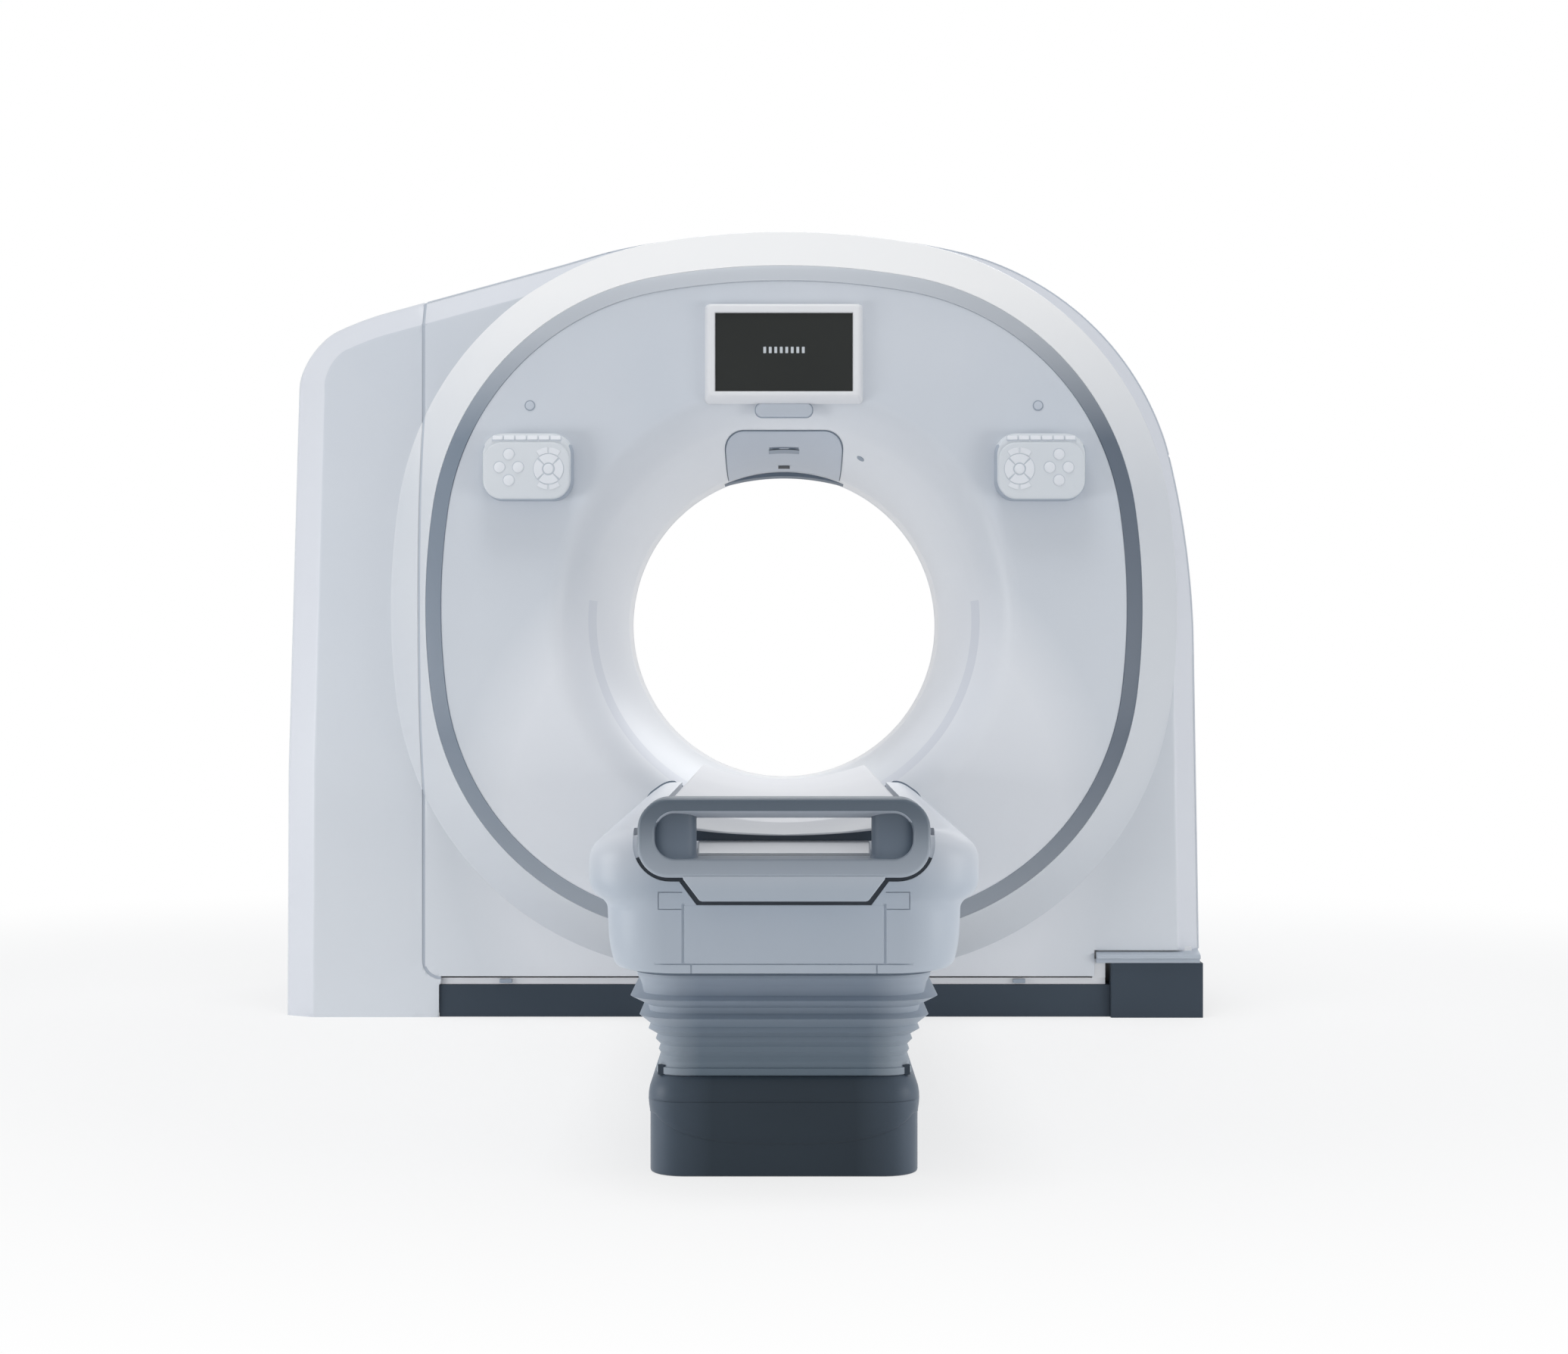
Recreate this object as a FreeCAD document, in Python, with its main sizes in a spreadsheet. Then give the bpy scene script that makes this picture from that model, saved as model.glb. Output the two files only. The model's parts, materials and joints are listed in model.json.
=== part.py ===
"""CT scanner: a floor-standing gantry with its rotor, and a patient table that lifts and slides.

Millimetres. The origin lies on the floor under the isocentre, +X to the right of someone who
stands at the table's foot, +Y into the gantry, +Z up.
"""
import FreeCAD, Part
import math
import os
import re

import Sketcher
from FreeCAD import Placement, Rotation, Vector

SIZES = {
    # bore
    "bore_radius": 400, "bore_height": 956, "bore_wall": 4,
    "throat_front": -200, "throat_rear": 276,
    "flare_width": 160, "rear_flare_width": 120,
    # gantry depth
    "wall": 6, "ring_front": -500, "ring_recess": 8, "oval_back": -380,
    "edge_back": -300, "rear_seam": 300, "gantry_rear": 500, "rear_edge": 40,
    "left_bevel": 70, "edge_bevel": 42,
    # oval face and trim ring
    "oval_rise": 29, "oval_half_width": 851, "oval_up": 812, "oval_down": 795,
    "oval_top_radius": 1733, "oval_side_radius": 1655, "oval_corner_radius": 652,
    "oval_bevel": 97, "ring_width": 40,
    # outline round the oval: drops from the arch's top, and distances from the oval's bevel
    "arch_margin": 5, "arch_half": 418, "arch_side_drop": 49,
    "roof_start_out": 142, "roof_start_drop": 249, "shoulder_out": 224, "shoulder_drop": 379,
    "left_foot_out": 258, "corner_in": 165, "corner_drop": 268, "side_in": 17,
    "side_drop": 542, "side_middle_out": 25, "side_middle_drop": 761, "waist_out": 45,
    "waist_drop": 980, "right_foot_out": 65,
    # seams
    "seam_out": 18, "seam_corner": 42, "front_bottom": 95, "notch_width": 270,
    "groove_width": 3, "groove_depth": 3,
    # rear vents
    "vent_inner": 480, "vent_outer": 760, "vent_low": 330, "vent_pitch": 34,
    "vent_height": 14, "vent_count": 6,
    # plinth and foot box
    "plinth_in": 37, "plinth_height": 82, "plinth_front": -372, "plinth_plate": 12,
    "foot_width": 222, "foot_in": 4, "foot_height": 132, "foot_front": -392,
    "lid_over": 35, "lid_lip_height": 142, "lid_lip_top": 152, "lid_height": 168,
    "lid_front": -404, "lid_slope": 80,
    # frame and stator
    "frame_in": 56, "frame_half_depth": 292, "frame_height": 60, "anchor_across": 700,
    "anchor_along": 250, "anchor_radius": 11,
    "stator_inner": 470, "stator_outer": 720, "stator_front": 120, "stator_back": 160,
    "leg_across": 520, "leg_width": 150, "leg_depth": 120,
    "race_split": 520, "race_outer": 560, "race_gap": 0.3, "race_step": 10,
    # rotor
    "rotor_inner": 455, "rotor_outer": 760, "rotor_front": 20, "rotor_back": 60,
    "rim_wall": 14, "rim_front": -40, "window_radius": 34, "window_circle": 700,
    "window_count": 12,
    "carried_inner": 505, "carried_front": -230,
    "tube_radius": 92, "tube_circle": 612, "tube_front": -300,
    "collimator_width": 170, "collimator_inner": 474, "collimator_depth": 44,
    "detector_inner": 500, "detector_outer": 610, "detector_half_angle": 31,
    "detector_front": -140,
    "tank_angle": 335, "tank_width": 270, "tank_depth": 190,
    "exchanger_angle": 28, "exchanger_width": 250, "exchanger_depth": 180,
    "fin_count": 6, "fin_slot": 9, "fin_slot_depth": 60,
    "weight_angle": 152, "weight_width": 230, "weight_depth": 170,
    "slip_inner": 600, "slip_outer": 680, "slip_back": 95, "slip_groove": 6, "slip_count": 4,
    "brush_width": 120, "brush_depth": 70, "brush_angle": 40,
    # drive
    "motor_in": 99, "motor_drop": 656, "motor_radius": 80, "motor_back": 230,
    "pulley_radius": 60, "pulley_lip": 4, "shaft_radius": 14,
    "belt_front": -30, "belt_back": 10, "belt_thickness": 6, "belt_gap": 0.3,
    "cabinet_out": 21, "cabinet_width": 250, "cabinet_half_depth": 200,
    "cabinet_height": 1250,
    # display, marks and laser cover
    "bezel_drop": 56, "bezel_height": 221, "bezel_width": 361, "bezel_flare": 7,
    "bezel_front": -520, "bezel_corner": 9, "bezel_seat": 40, "screen_width": 324,
    "screen_height": 184, "screen_drop": 114, "screen_sink": 5, "screen_glass": 8,
    "tab_width": 144, "tab_gap": 9, "tab_height": 38, "tab_front": -500, "tab_corner": 15,
    "tab_seat": 80,
    "laser_width": 284, "laser_rise": 69, "laser_corner": 40, "laser_skin": 3,
    "laser_past": 60, "grip_width": 76, "grip_height": 12, "grip_rise": 36,
    "pane_width": 32, "pane_height": 12, "pane_rise": 15, "pane_skin": 5,
    "plug_radius": 12.5, "plug_in": 249, "plug_rise": 478, "plug_height": 2,
    "latch_left": -671, "latch_right": 567, "latch_width": 30, "latch_height": 10,
    # control panels
    "panel_in": 246, "panel_rise": 333, "panel_width": 216, "panel_height": 154,
    "panel_corner": 46, "panel_front": -550, "panel_edge": 7, "face_sink": 7,
    "face_width": 203, "face_low": 75, "face_high": 53, "face_corner": 40, "face_edge": 3,
    "button_radius": 13.2, "button_gap": 0.4, "button_proud": 3, "button_sunk": 4,
    "button_travel": 2, "button_across": 41, "button_drop": 6, "button_spread": 22,
    "button_rise": 31,
    "nav_across": 52, "nav_drop": 9.5, "nav_radius": 35, "nav_centre": 12, "nav_groove": 2,
    "key_proud": 2, "key_pitch": 27.2, "key_width": 24, "key_height": 11, "key_rise": 62,
    "key_count": 6, "dot_radius": 6.5, "dot_across": 13, "dot_gap": 7.5,
    # table base and column
    "base_front": -2458, "base_back": -1100, "base_half_width": 222, "base_height": 164,
    "base_corner": 60, "base_split": 100, "base_bulge": 3, "base_bulge_z": 123,
    "base_shoulder": 12, "base_wall": 5, "tongue_bottom": 53, "tongue_thickness": 4,
    "mouth_corner": 30, "plate_height": 12, "table_anchor_across": 150,
    "table_anchor_near": -1250, "table_anchor_far": -2300, "table_anchor_radius": 9,
    "column_y": -1780, "column_half": 130, "column_wall": 8, "column_gap": 0.3,
    "column_outer_top": 270, "column_mid_top": 290, "column_step": 8,
    # bellows
    "bellows_top": 341, "bellows_half_top": 246, "bellows_half_bottom": 209,
    "bellows_corner": 62, "pleat_depth": 20, "pleat_shallow": 0.35, "pleat_count": 6,
    "bellows_wall": 3, "bellows_flange": 14, "bellows_inset": 14,
    # table top
    "body_front": -2526, "body_back": -560, "body_bottom": 341.3,
    "end_round": 110, "end_steps": 6,
    "belly_foot": 268, "belly_bow": 3, "belly_half": 290, "belly_top": 440,
    "shoulder_low": 311, "shoulder_low_z": 486, "shoulder_half": 322, "shoulder_z": 516,
    "shoulder_top": 317, "shoulder_top_z": 545, "rail_out": 274, "rail_z": 574,
    "rail_in_z": 562, "trough_gap": 5.5, "body_wall": 8, "cavity_half": 255,
    "cavity_top": 447,
    "end_panel_half": 162, "end_panel_bottom": 357, "end_panel_top": 447,
    "end_panel_recess": 2, "end_panel_thickness": 24,
    # cradle and handle
    "cradle_front": -2500, "cradle_half": 190, "cradle_bottom": 561, "cradle_edge": 608,
    "cradle_top": 580, "cradle_edge_top": 614, "flange_edge": 577, "flange_depth": 40,
    "glide_length": 50, "seat_gap": 0.3,
    "carriage_back": -2260, "carriage_half": 140, "carriage_top": 551,
    "carriage_bottom": 529, "neck_half": 60, "shoe_half": 120, "neck_recess": 60,
    "handle_front": -2600, "handle_back": -2510, "handle_half": 231, "handle_bottom": 501,
    "handle_top": 627, "handle_corner": 49, "handle_edge": 5, "handle_dish": 9, "opening_half": 206,
    "opening_bottom": 530, "opening_top": 605, "opening_corner": 32, "post_x": 173,
    "post_radius": 30, "post_y": -2548, "lug_bottom": 580, "lug_top": 604,
    "lug_inner": 150, "lug_outer": 186,
    "apron_half": 161, "apron_foot_half": 133, "apron_bottom": 461,
}

DERIVED = {
    "flare_radius": "bore_radius + flare_width",
    "rear_flare_radius": "bore_radius + rear_flare_width",
    "oval_centre": "bore_height + oval_rise",
    "drum_half": "oval_half_width + oval_bevel",
    "arch_height": "oval_centre + oval_up + oval_bevel + arch_margin",
    "arch_side_height": "arch_height - arch_side_drop",
    "left_foot": "-(drum_half + left_foot_out)",
    "left_shoulder": "-(drum_half + shoulder_out)",
    "left_shoulder_height": "arch_height - shoulder_drop",
    "roof_start": "-(drum_half + roof_start_out)",
    "roof_start_height": "arch_height - roof_start_drop",
    "corner_across": "drum_half - corner_in",
    "corner_height": "arch_height - corner_drop",
    "side_across": "drum_half - side_in",
    "side_height": "arch_height - side_drop",
    "side_middle": "drum_half + side_middle_out",
    "side_middle_height": "arch_height - side_middle_drop",
    "right_waist": "drum_half + waist_out",
    "right_waist_height": "arch_height - waist_drop",
    "right_foot": "drum_half + right_foot_out",
    "seam_x": "-(oval_half_width + seam_out)",
    "notch_x": "right_foot - notch_width",
    "plinth_left": "seam_x + plinth_in",
    "foot_right": "right_foot - foot_in",
    "foot_left": "foot_right - foot_width",
    "lid_left": "foot_left - lid_over",
    "frame_left": "left_foot + frame_in",
    "cabinet_right": "seam_x - cabinet_out",
    "cabinet_left": "cabinet_right - cabinet_width",
    "bezel_top": "oval_centre + oval_up - ring_width - bezel_drop",
    "bezel_bottom": "bezel_top - bezel_height",
    "screen_middle": "bezel_top - screen_drop",
    "tab_top": "bezel_bottom - tab_gap",
    "tab_bottom": "tab_top - tab_height",
    "laser_top": "bore_height + bore_radius + laser_rise",
    "grip_z": "bore_height + bore_radius + grip_rise",
    "pane_z": "bore_height + bore_radius + pane_rise",
    "plug_x": "oval_half_width - plug_in",
    "plug_z": "oval_centre + plug_rise",
    "panel_x": "oval_half_width - panel_in",
    "panel_z": "oval_centre + panel_rise",
    "motor_x": "seam_x + motor_in",
    "motor_z": "bore_height - motor_drop",
}

doc = FreeCAD.newDocument("ct_scanner")
sheet = doc.addObject("Spreadsheet::Sheet", "sizes")
for row, (alias, value) in enumerate(SIZES.items(), 1):
    sheet.set(f"A{row}", alias)
    sheet.set(f"B{row}", str(value))
    sheet.setAlias(f"B{row}", alias)
doc.recompute()


class Sheet:
    """The sheet's values, and those derived from them, as numbers read by name."""

    def __getattr__(self, alias):
        value = number(alias) if alias in DERIVED else float(getattr(sheet, alias))
        setattr(self, alias, value)
        return value


S = Sheet()
NODES = []
FAR = 3000.0


# ---- objects bound to the sheet -------------------------------------------------------------

def in_sheet(expression):
    """The expression with derived names opened up, and every alias as a cell of the sheet."""
    def cell(match):
        word = match.group(0)
        return f"({in_sheet(DERIVED[word])})" if word in DERIVED else f"sizes.{word}"

    return re.sub(r"\b[a-z][a-z_]*[a-z]\b", cell, expression)


def bind(thing, **expressions):
    for prop, expression in expressions.items():
        thing.setExpression(prop.replace("__", "."), in_sheet(expression))
    return thing


def block(name, x, y, z):
    """A box between two expressions along each axis."""
    thing = doc.addObject("Part::Box", name)
    return bind(thing, Length=f"({x[1]}) - ({x[0]})", Width=f"({y[1]}) - ({y[0]})",
                Height=f"({z[1]}) - ({z[0]})", Placement__Base__x=x[0],
                Placement__Base__y=y[0], Placement__Base__z=z[0])


def rod(name, radius, y, x="0", z="0"):
    """A cylinder along Y between two expressions."""
    thing = doc.addObject("Part::Cylinder", name)
    thing.Placement = Placement(Vector(), Rotation(Vector(1, 0, 0), -90))
    return bind(thing, Radius=radius, Height=f"({y[1]}) - ({y[0]})", Placement__Base__x=x,
                Placement__Base__y=y[0], Placement__Base__z=z)


def post(name, radius, z, x, y):
    """A cylinder along Z between two expressions."""
    thing = doc.addObject("Part::Cylinder", name)
    return bind(thing, Radius=radius, Height=f"({z[1]}) - ({z[0]})", Placement__Base__x=x,
                Placement__Base__y=y, Placement__Base__z=z[0])


def cut(name, base, *tools):
    thing = doc.addObject("Part::Cut", name)
    thing.Base = base
    thing.Tool = tools[0] if len(tools) == 1 else fuse(name + "_tools", *tools)
    return thing


def fuse(name, *shapes):
    thing = doc.addObject("Part::MultiFuse", name)
    thing.Shapes = list(shapes)
    return thing


def group(name, *shapes):
    """Separate solids of one node."""
    thing = doc.addObject("Part::Compound", name)
    thing.Links = list(shapes)
    return thing


def formed(name, shape):
    """A sub-part whose shape is worked out from the sheet with the part functions."""
    thing = doc.addObject("Part::Feature", name)
    thing.Shape = shape
    return thing


def node(name, thing):
    thing.Label = name
    NODES.append(thing)
    return thing


def plane_of(body, role):
    return next(item for item in body.Origin.OriginFeatures if item.Role == role)


def sketch_polygon(body, name, role, corners):
    """A closed sketch of straight lines; each corner is a pair of expressions."""
    sketch = body.newObject("Sketcher::SketchObject", name)
    sketch.AttachmentSupport = [(plane_of(body, role), "")]
    sketch.MapMode = "FlatFace"
    values = [tuple(number(term) for term in corner) for corner in corners]
    lines = []
    for (u, v), (u2, v2) in zip(values, values[1:] + values[:1]):
        line = Part.LineSegment(Vector(u, v, 0), Vector(u2, v2, 0))
        lines.append(sketch.addGeometry(line, False))
    for first, second in zip(lines, lines[1:] + lines[:1]):
        sketch.addConstraint(Sketcher.Constraint("Coincident", first, 2, second, 1))
    for line, corner, value in zip(lines, corners, values):
        for kind, term, size in zip(("DistanceX", "DistanceY"), corner, value):
            rule = Sketcher.Constraint(kind, -1, 1, line, 1, size)
            index = sketch.addConstraint(rule)
            sketch.setExpression(f"Constraints[{index}]", in_sheet(term))
    return sketch


def number(expression):
    """The value of an expression over the sheet's aliases."""
    probe = doc.getObject("probe") or doc.addObject("App::FeaturePython", "probe")
    if "Value" not in probe.PropertiesList:
        probe.addProperty("App::PropertyFloat", "Value")
    probe.setExpression("Value", in_sheet(expression))
    probe.recompute()
    return probe.Value


def padded(name, role, corners, length, shift, axis):
    """A body padded from a polygon on an origin plane, and moved along the plane's normal."""
    body = doc.addObject("PartDesign::Body", name)
    sketch = sketch_polygon(body, name + "_outline", role, corners)
    pad = body.newObject("PartDesign::Pad", name + "_pad")
    pad.Profile = sketch
    pad.Reversed = role == "XZ_Plane"
    bind(pad, Length=length)
    bind(body, **{"Placement__Base__" + axis: shift})
    return body


ISO = Vector(0, 0, S.bore_height)


# ---- outlines worked out from the sheet ------------------------------------------------------

def xz(x, y, z):
    return Vector(x, y, z)


def arc(start, middle, end):
    return Part.Arc(start, middle, end).toShape()


def line(start, end):
    return Part.makeLine(start, end)


def along_y(wire, start, end):
    """A solid from a wire in an XZ plane at Y = start, drawn to Y = end."""
    return Part.Face(wire).extrude(Vector(0, end - start, 0))


def box_between(x, y, z):
    return Part.makeBox(x[1] - x[0], y[1] - y[0], z[1] - z[0], Vector(x[0], y[0], z[0]))


def rounded_rectangle(half, tall, corner, place):
    """A wire with round corners; place turns plane coordinates (u, v) into a point."""
    k = corner * (1 - math.sqrt(0.5))
    edges = []
    for side in range(4):
        across, up = (half, tall) if side % 2 == 0 else (tall, half)
        turn = math.radians(90 * side)

        def at(u, v):
            return place(u * math.cos(turn) - v * math.sin(turn),
                         u * math.sin(turn) + v * math.cos(turn))

        edges.append(line(at(across, corner - up), at(across, up - corner)))
        edges.append(arc(at(across, up - corner), at(across - k, up - k),
                         at(across - corner, up)))
    return Part.Wire(edges)


def oval(grow, y):
    """The face oval of eight tangent arcs at Y = y, grown outward by a distance."""
    side = (S.oval_half_width - S.oval_side_radius, S.oval_centre)
    side_radius = S.oval_side_radius + grow
    corner_radius = S.oval_corner_radius + grow
    joints = {}
    for up, reach in ((1, S.oval_up), (-1, S.oval_down)):
        top = (0.0, S.oval_centre + up * (reach - S.oval_top_radius))
        top_radius = S.oval_top_radius + grow
        near, far = top_radius - corner_radius, side_radius - corner_radius
        gap = math.hypot(side[0] - top[0], side[1] - top[1])
        ux, uz = (side[0] - top[0]) / gap, (side[1] - top[1]) / gap
        share = (near * near - far * far + gap * gap) / (2 * gap)
        rise = math.sqrt(near * near - share * share)
        centre = (top[0] + ux * share + up * rise * -uz, top[1] + uz * share + up * rise * ux)
        if centre[0] < 0:
            centre = (top[0] + ux * share + up * rise * uz, top[1] + uz * share - up * rise * ux)
        first = [top[i] + (centre[i] - top[i]) * top_radius / near for i in (0, 1)]
        last = [side[i] + (centre[i] - side[i]) * side_radius / far for i in (0, 1)]
        out = math.atan2(first[1] - centre[1], first[0] - centre[0])
        turn = math.atan2(last[1] - centre[1], last[0] - centre[0])
        middle = (centre[0] + corner_radius * math.cos((out + turn) / 2),
                  centre[1] + corner_radius * math.sin((out + turn) / 2))
        joints[up] = first, middle, last

    def at(point, mirror=1):
        return xz(mirror * point[0], y, point[1])

    (top1, top2, top3), (low1, low2, low3) = joints[1], joints[-1]
    highest = xz(0, y, S.oval_centre + S.oval_up + grow)
    lowest = xz(0, y, S.oval_centre - S.oval_down - grow)
    widest = S.oval_half_width + grow
    return Part.Wire([
        arc(at(top1, -1), highest, at(top1)), arc(at(top1), at(top2), at(top3)),
        arc(at(top3), xz(widest, y, S.oval_centre), at(low3)),
        arc(at(low3), at(low2), at(low1)), arc(at(low1), lowest, at(low1, -1)),
        arc(at(low1, -1), at(low2, -1), at(low3, -1)),
        arc(at(low3, -1), xz(-widest, y, S.oval_centre), at(top3, -1)),
        arc(at(top3, -1), at(top2, -1), at(top1, -1))])


def stand_outline(y, left, edge):
    """The gantry's outline at Y = y, inset on its left wall and on its other edges."""
    stops = [(S.left_foot, 0), (S.left_shoulder, S.left_shoulder_height),
             (S.roof_start, S.roof_start_height), (-S.arch_half, S.arch_side_height),
             (S.arch_half, S.arch_side_height), (S.side_across, S.side_height),
             (S.right_waist, S.right_waist_height), (S.right_foot, 0)]
    middles = [None, None, None, (0, S.arch_height), (S.corner_across, S.corner_height),
               (S.side_middle, S.side_middle_height), None]
    spans = []
    for start, end, middle in zip(stops, stops[1:], middles):
        if middle is None:
            length = math.hypot(end[0] - start[0], end[1] - start[1])
            normal = (-(end[1] - start[1]) / length, (end[0] - start[0]) / length)
            spans.append((normal, None, normal))
            continue
        centre = arc(Vector(*start), Vector(*middle), Vector(*end)).Curve.Center
        spans.append(tuple(((p[0] - centre.x) / math.hypot(p[0] - centre.x, p[1] - centre.y),
                            (p[1] - centre.y) / math.hypot(p[0] - centre.x, p[1] - centre.y))
                           for p in (start, middle, end)))
    insets = [left] + [edge] * (len(spans) - 1)
    floor = (0, -1)
    before = [(floor, 0)] + [(span[2], inset) for span, inset in zip(spans, insets)]
    after = [(span[0], inset) for span, inset in zip(spans, insets)] + [(floor, 0)]
    moved = []
    for point, (n1, d1), (n2, d2) in zip(stops, before, after):
        cross = n1[0] * n2[1] - n1[1] * n2[0]
        if abs(cross) < math.sin(math.radians(8)):
            moved.append((point[0] - n1[0] * d1, point[1] - n1[1] * d1))
            continue
        moved.append((point[0] - (d1 * n2[1] - d2 * n1[1]) / cross,
                      point[1] + (d1 * n2[0] - d2 * n1[0]) / cross))
    edges = []
    for start, end, middle, span, inset in zip(moved, moved[1:], middles, spans, insets):
        ends = xz(start[0], y, start[1]), xz(end[0], y, end[1])
        if middle is None:
            edges.append(line(*ends))
        else:
            through = xz(middle[0] - span[1][0] * inset, y, middle[1] - span[1][1] * inset)
            edges.append(arc(ends[0], through, ends[1]))
    edges.append(line(xz(moved[-1][0], y, 0), xz(moved[0][0], y, 0)))
    return Part.Wire(edges)


def loft(first, second):
    return Part.makeLoft([first, second], True, True)


def gantry_solid(inset):
    """The gantry's whole outside form, inset evenly."""
    oval_back, ring_front = S.oval_back + inset, S.ring_front + inset
    rear = S.gantry_rear - inset
    stand = loft(stand_outline(oval_back, S.left_bevel + inset, S.edge_bevel + inset),
                 stand_outline(S.edge_back, inset, inset))
    middle = along_y(stand_outline(S.edge_back, inset, inset), S.edge_back,
                     S.gantry_rear - S.rear_edge)
    back = loft(stand_outline(S.gantry_rear - S.rear_edge, inset, inset),
                stand_outline(rear, S.rear_edge + inset, S.rear_edge + inset))
    drum = along_y(oval(S.oval_bevel - inset, oval_back), oval_back, S.edge_back)
    face = loft(oval(-inset, ring_front), oval(S.oval_bevel - inset, oval_back))
    return stand.multiFuse([middle, back, drum, face]).removeSplitter()


def bore_curve(grow):
    """The bore's wall from face to face: front flare, throat, rear flare, grown outward."""
    face_y = S.ring_front + S.ring_recess
    radius = S.bore_radius + grow

    def at(r, y):
        return Vector(r, y, S.bore_height)

    def quarter(outer, y_face, y_throat):
        wide, deep = outer - S.bore_radius, abs(y_face - y_throat)
        half = math.sqrt(0.5)
        bend = at(outer + grow - wide * half, y_throat + (y_face - y_throat) * half)
        if deep > wide:
            shape = Part.Ellipse(at(outer + grow, y_throat + deep), at(radius, y_throat),
                                 at(outer + grow, y_throat))
            start, end = sorted((shape.parameter(at(outer + grow, y_face)),
                                 shape.parameter(at(radius, y_throat))))
            if end - start > math.pi:
                start, end = end, start + 2 * math.pi
            return shape.toShape(start, end)
        return arc(at(outer + grow, y_face), bend, at(radius, y_throat))

    front = quarter(S.flare_radius, face_y, S.throat_front)
    rear = quarter(S.rear_flare_radius, S.gantry_rear, S.throat_rear)
    return front, rear


def bore_solid(grow, past):
    """The bore as a solid of revolution, running past both faces."""
    front, rear = bore_curve(grow)
    face_y = S.ring_front + S.ring_recess
    outer, rear_outer = S.flare_radius + grow, S.rear_flare_radius + grow
    radius, height = S.bore_radius + grow, S.bore_height
    corners = [Vector(outer, face_y, height), Vector(outer, face_y - past, height),
               Vector(0, face_y - past, height), Vector(0, S.gantry_rear + past, height),
               Vector(rear_outer, S.gantry_rear + past, height),
               Vector(rear_outer, S.gantry_rear, height)]
    edges = [line(a, b) for a, b in zip(corners, corners[1:]) if (b - a).Length > 1e-6]
    edges += [rear, line(Vector(radius, S.throat_rear, height),
                         Vector(radius, S.throat_front, height)), front]
    face = Part.Face(Part.Wire(Part.__sortEdges__(edges)))
    return face.revolve(ISO, Vector(0, 1, 0), 360)


def slab(x=(-FAR, FAR), y=(-FAR, FAR), z=(-FAR, FAR)):
    return box_between(x, y, z)


# ---- gantry covers ---------------------------------------------------------------------------

def front_region():
    """Where the front cover lies, seen from the front, with its round corner and its notch."""
    low, corner, y = S.front_bottom, S.seam_corner, -FAR
    k = corner * (1 - math.sqrt(0.5))
    left = S.seam_x
    points = [xz(left + corner, y, low), xz(S.notch_x, y, low), xz(S.notch_x, y, S.lid_height),
              xz(FAR, y, S.lid_height), xz(FAR, y, FAR), xz(left, y, FAR),
              xz(left, y, low + corner)]
    edges = [line(a, b) for a, b in zip(points, points[1:])]
    edges.append(arc(points[-1], xz(left + k, y, low + k), points[0]))
    return along_y(Part.Wire(edges), y, S.edge_back)


def make_covers():
    """The gantry's outer covers: one thin shell, parted along its seams."""
    outside, inside = gantry_solid(0), gantry_solid(S.wall)
    void = bore_solid(0, S.ring_recess + 1)
    shell = outside.cut(inside.fuse(slab(z=(-FAR, 1)).common(inside)))
    flare = bore_solid(S.wall, 0).cut(void).common(outside)
    face_y = S.ring_front + S.ring_recess
    recess = along_y(oval(0, S.ring_front), S.ring_front, face_y)
    inner_face = along_y(oval(-S.wall, S.ring_front + S.wall), S.ring_front + S.wall,
                         face_y + S.wall)
    shell = shell.fuse(inner_face).cut(recess).cut(void)
    skin = outside.cut(gantry_solid(S.groove_depth))
    half = S.groove_width / 2
    grooves = slab(x=(S.seam_x - half, S.seam_x + half), z=(S.front_bottom + S.seam_corner, FAR))
    grooves = grooves.multiFuse([
        slab(y=(S.edge_back - half, S.edge_back + half), x=(S.seam_x, FAR)),
        slab(y=(S.rear_seam - half, S.rear_seam + half)),
        slab(z=(S.side_height - half, S.side_height + half), x=(0, FAR),
             y=(S.edge_back, S.rear_seam))])
    shell = shell.cut(skin.common(grooves))
    front = front_region()
    before = slab(y=(-FAR, S.edge_back))
    between = slab(y=(S.edge_back, S.rear_seam))
    left_edge = slab(x=(-FAR, S.plinth_left))
    flare_front = flare.common(slab(y=(-FAR, S.throat_front)))
    flare_rear = flare.common(slab(y=(S.throat_rear, FAR)))
    parts = {
        "front_cover": shell.common(front).fuse(flare_front),
        "left_cover": shell.common(before).common(left_edge).cut(front).fuse(
            shell.common(between).common(slab(x=(-FAR, S.seam_x)))),
        "top_cover": shell.common(between).common(slab(x=(S.seam_x, FAR),
                                                       z=(S.side_height, FAR))),
        "right_cover": shell.common(between).common(slab(x=(0, FAR),
                                                         z=(S.lid_height, S.side_height))),
        "rear_cover": shell.common(slab(y=(S.rear_seam, FAR), z=(S.front_bottom, FAR))).fuse(
            flare_rear),
    }
    vents = []
    for side in (-1, 1):
        across = sorted((side * S.vent_inner, side * S.vent_outer))
        for level in range(int(S.vent_count)):
            low = S.vent_low + S.vent_pitch * level
            vents.append(slab(x=across, y=(S.rear_seam, FAR), z=(low, low + S.vent_height)))
    parts["rear_cover"] = parts["rear_cover"].cut(vents[0].multiFuse(vents[1:]))
    for name, shape in parts.items():
        node(name, formed(name, shape.removeSplitter()))
    return outside.cut(recess).cut(void)


def make_trim_ring():
    outer = along_y(oval(0, S.ring_front), S.ring_front, S.ring_front + S.ring_recess)
    inner = along_y(oval(-S.ring_width, S.ring_front), S.ring_front,
                    S.ring_front + S.ring_recess)
    node("trim_ring", formed("trim_ring", outer.cut(inner)))


def make_bore_liner():
    y = ("throat_front", "throat_rear")
    outer = rod("liner_outside", "bore_radius + bore_wall", y, z="bore_height")
    inner = rod("liner_inside", "bore_radius", y, z="bore_height")
    node("bore_liner", cut("bore_liner", outer, inner))


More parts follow.
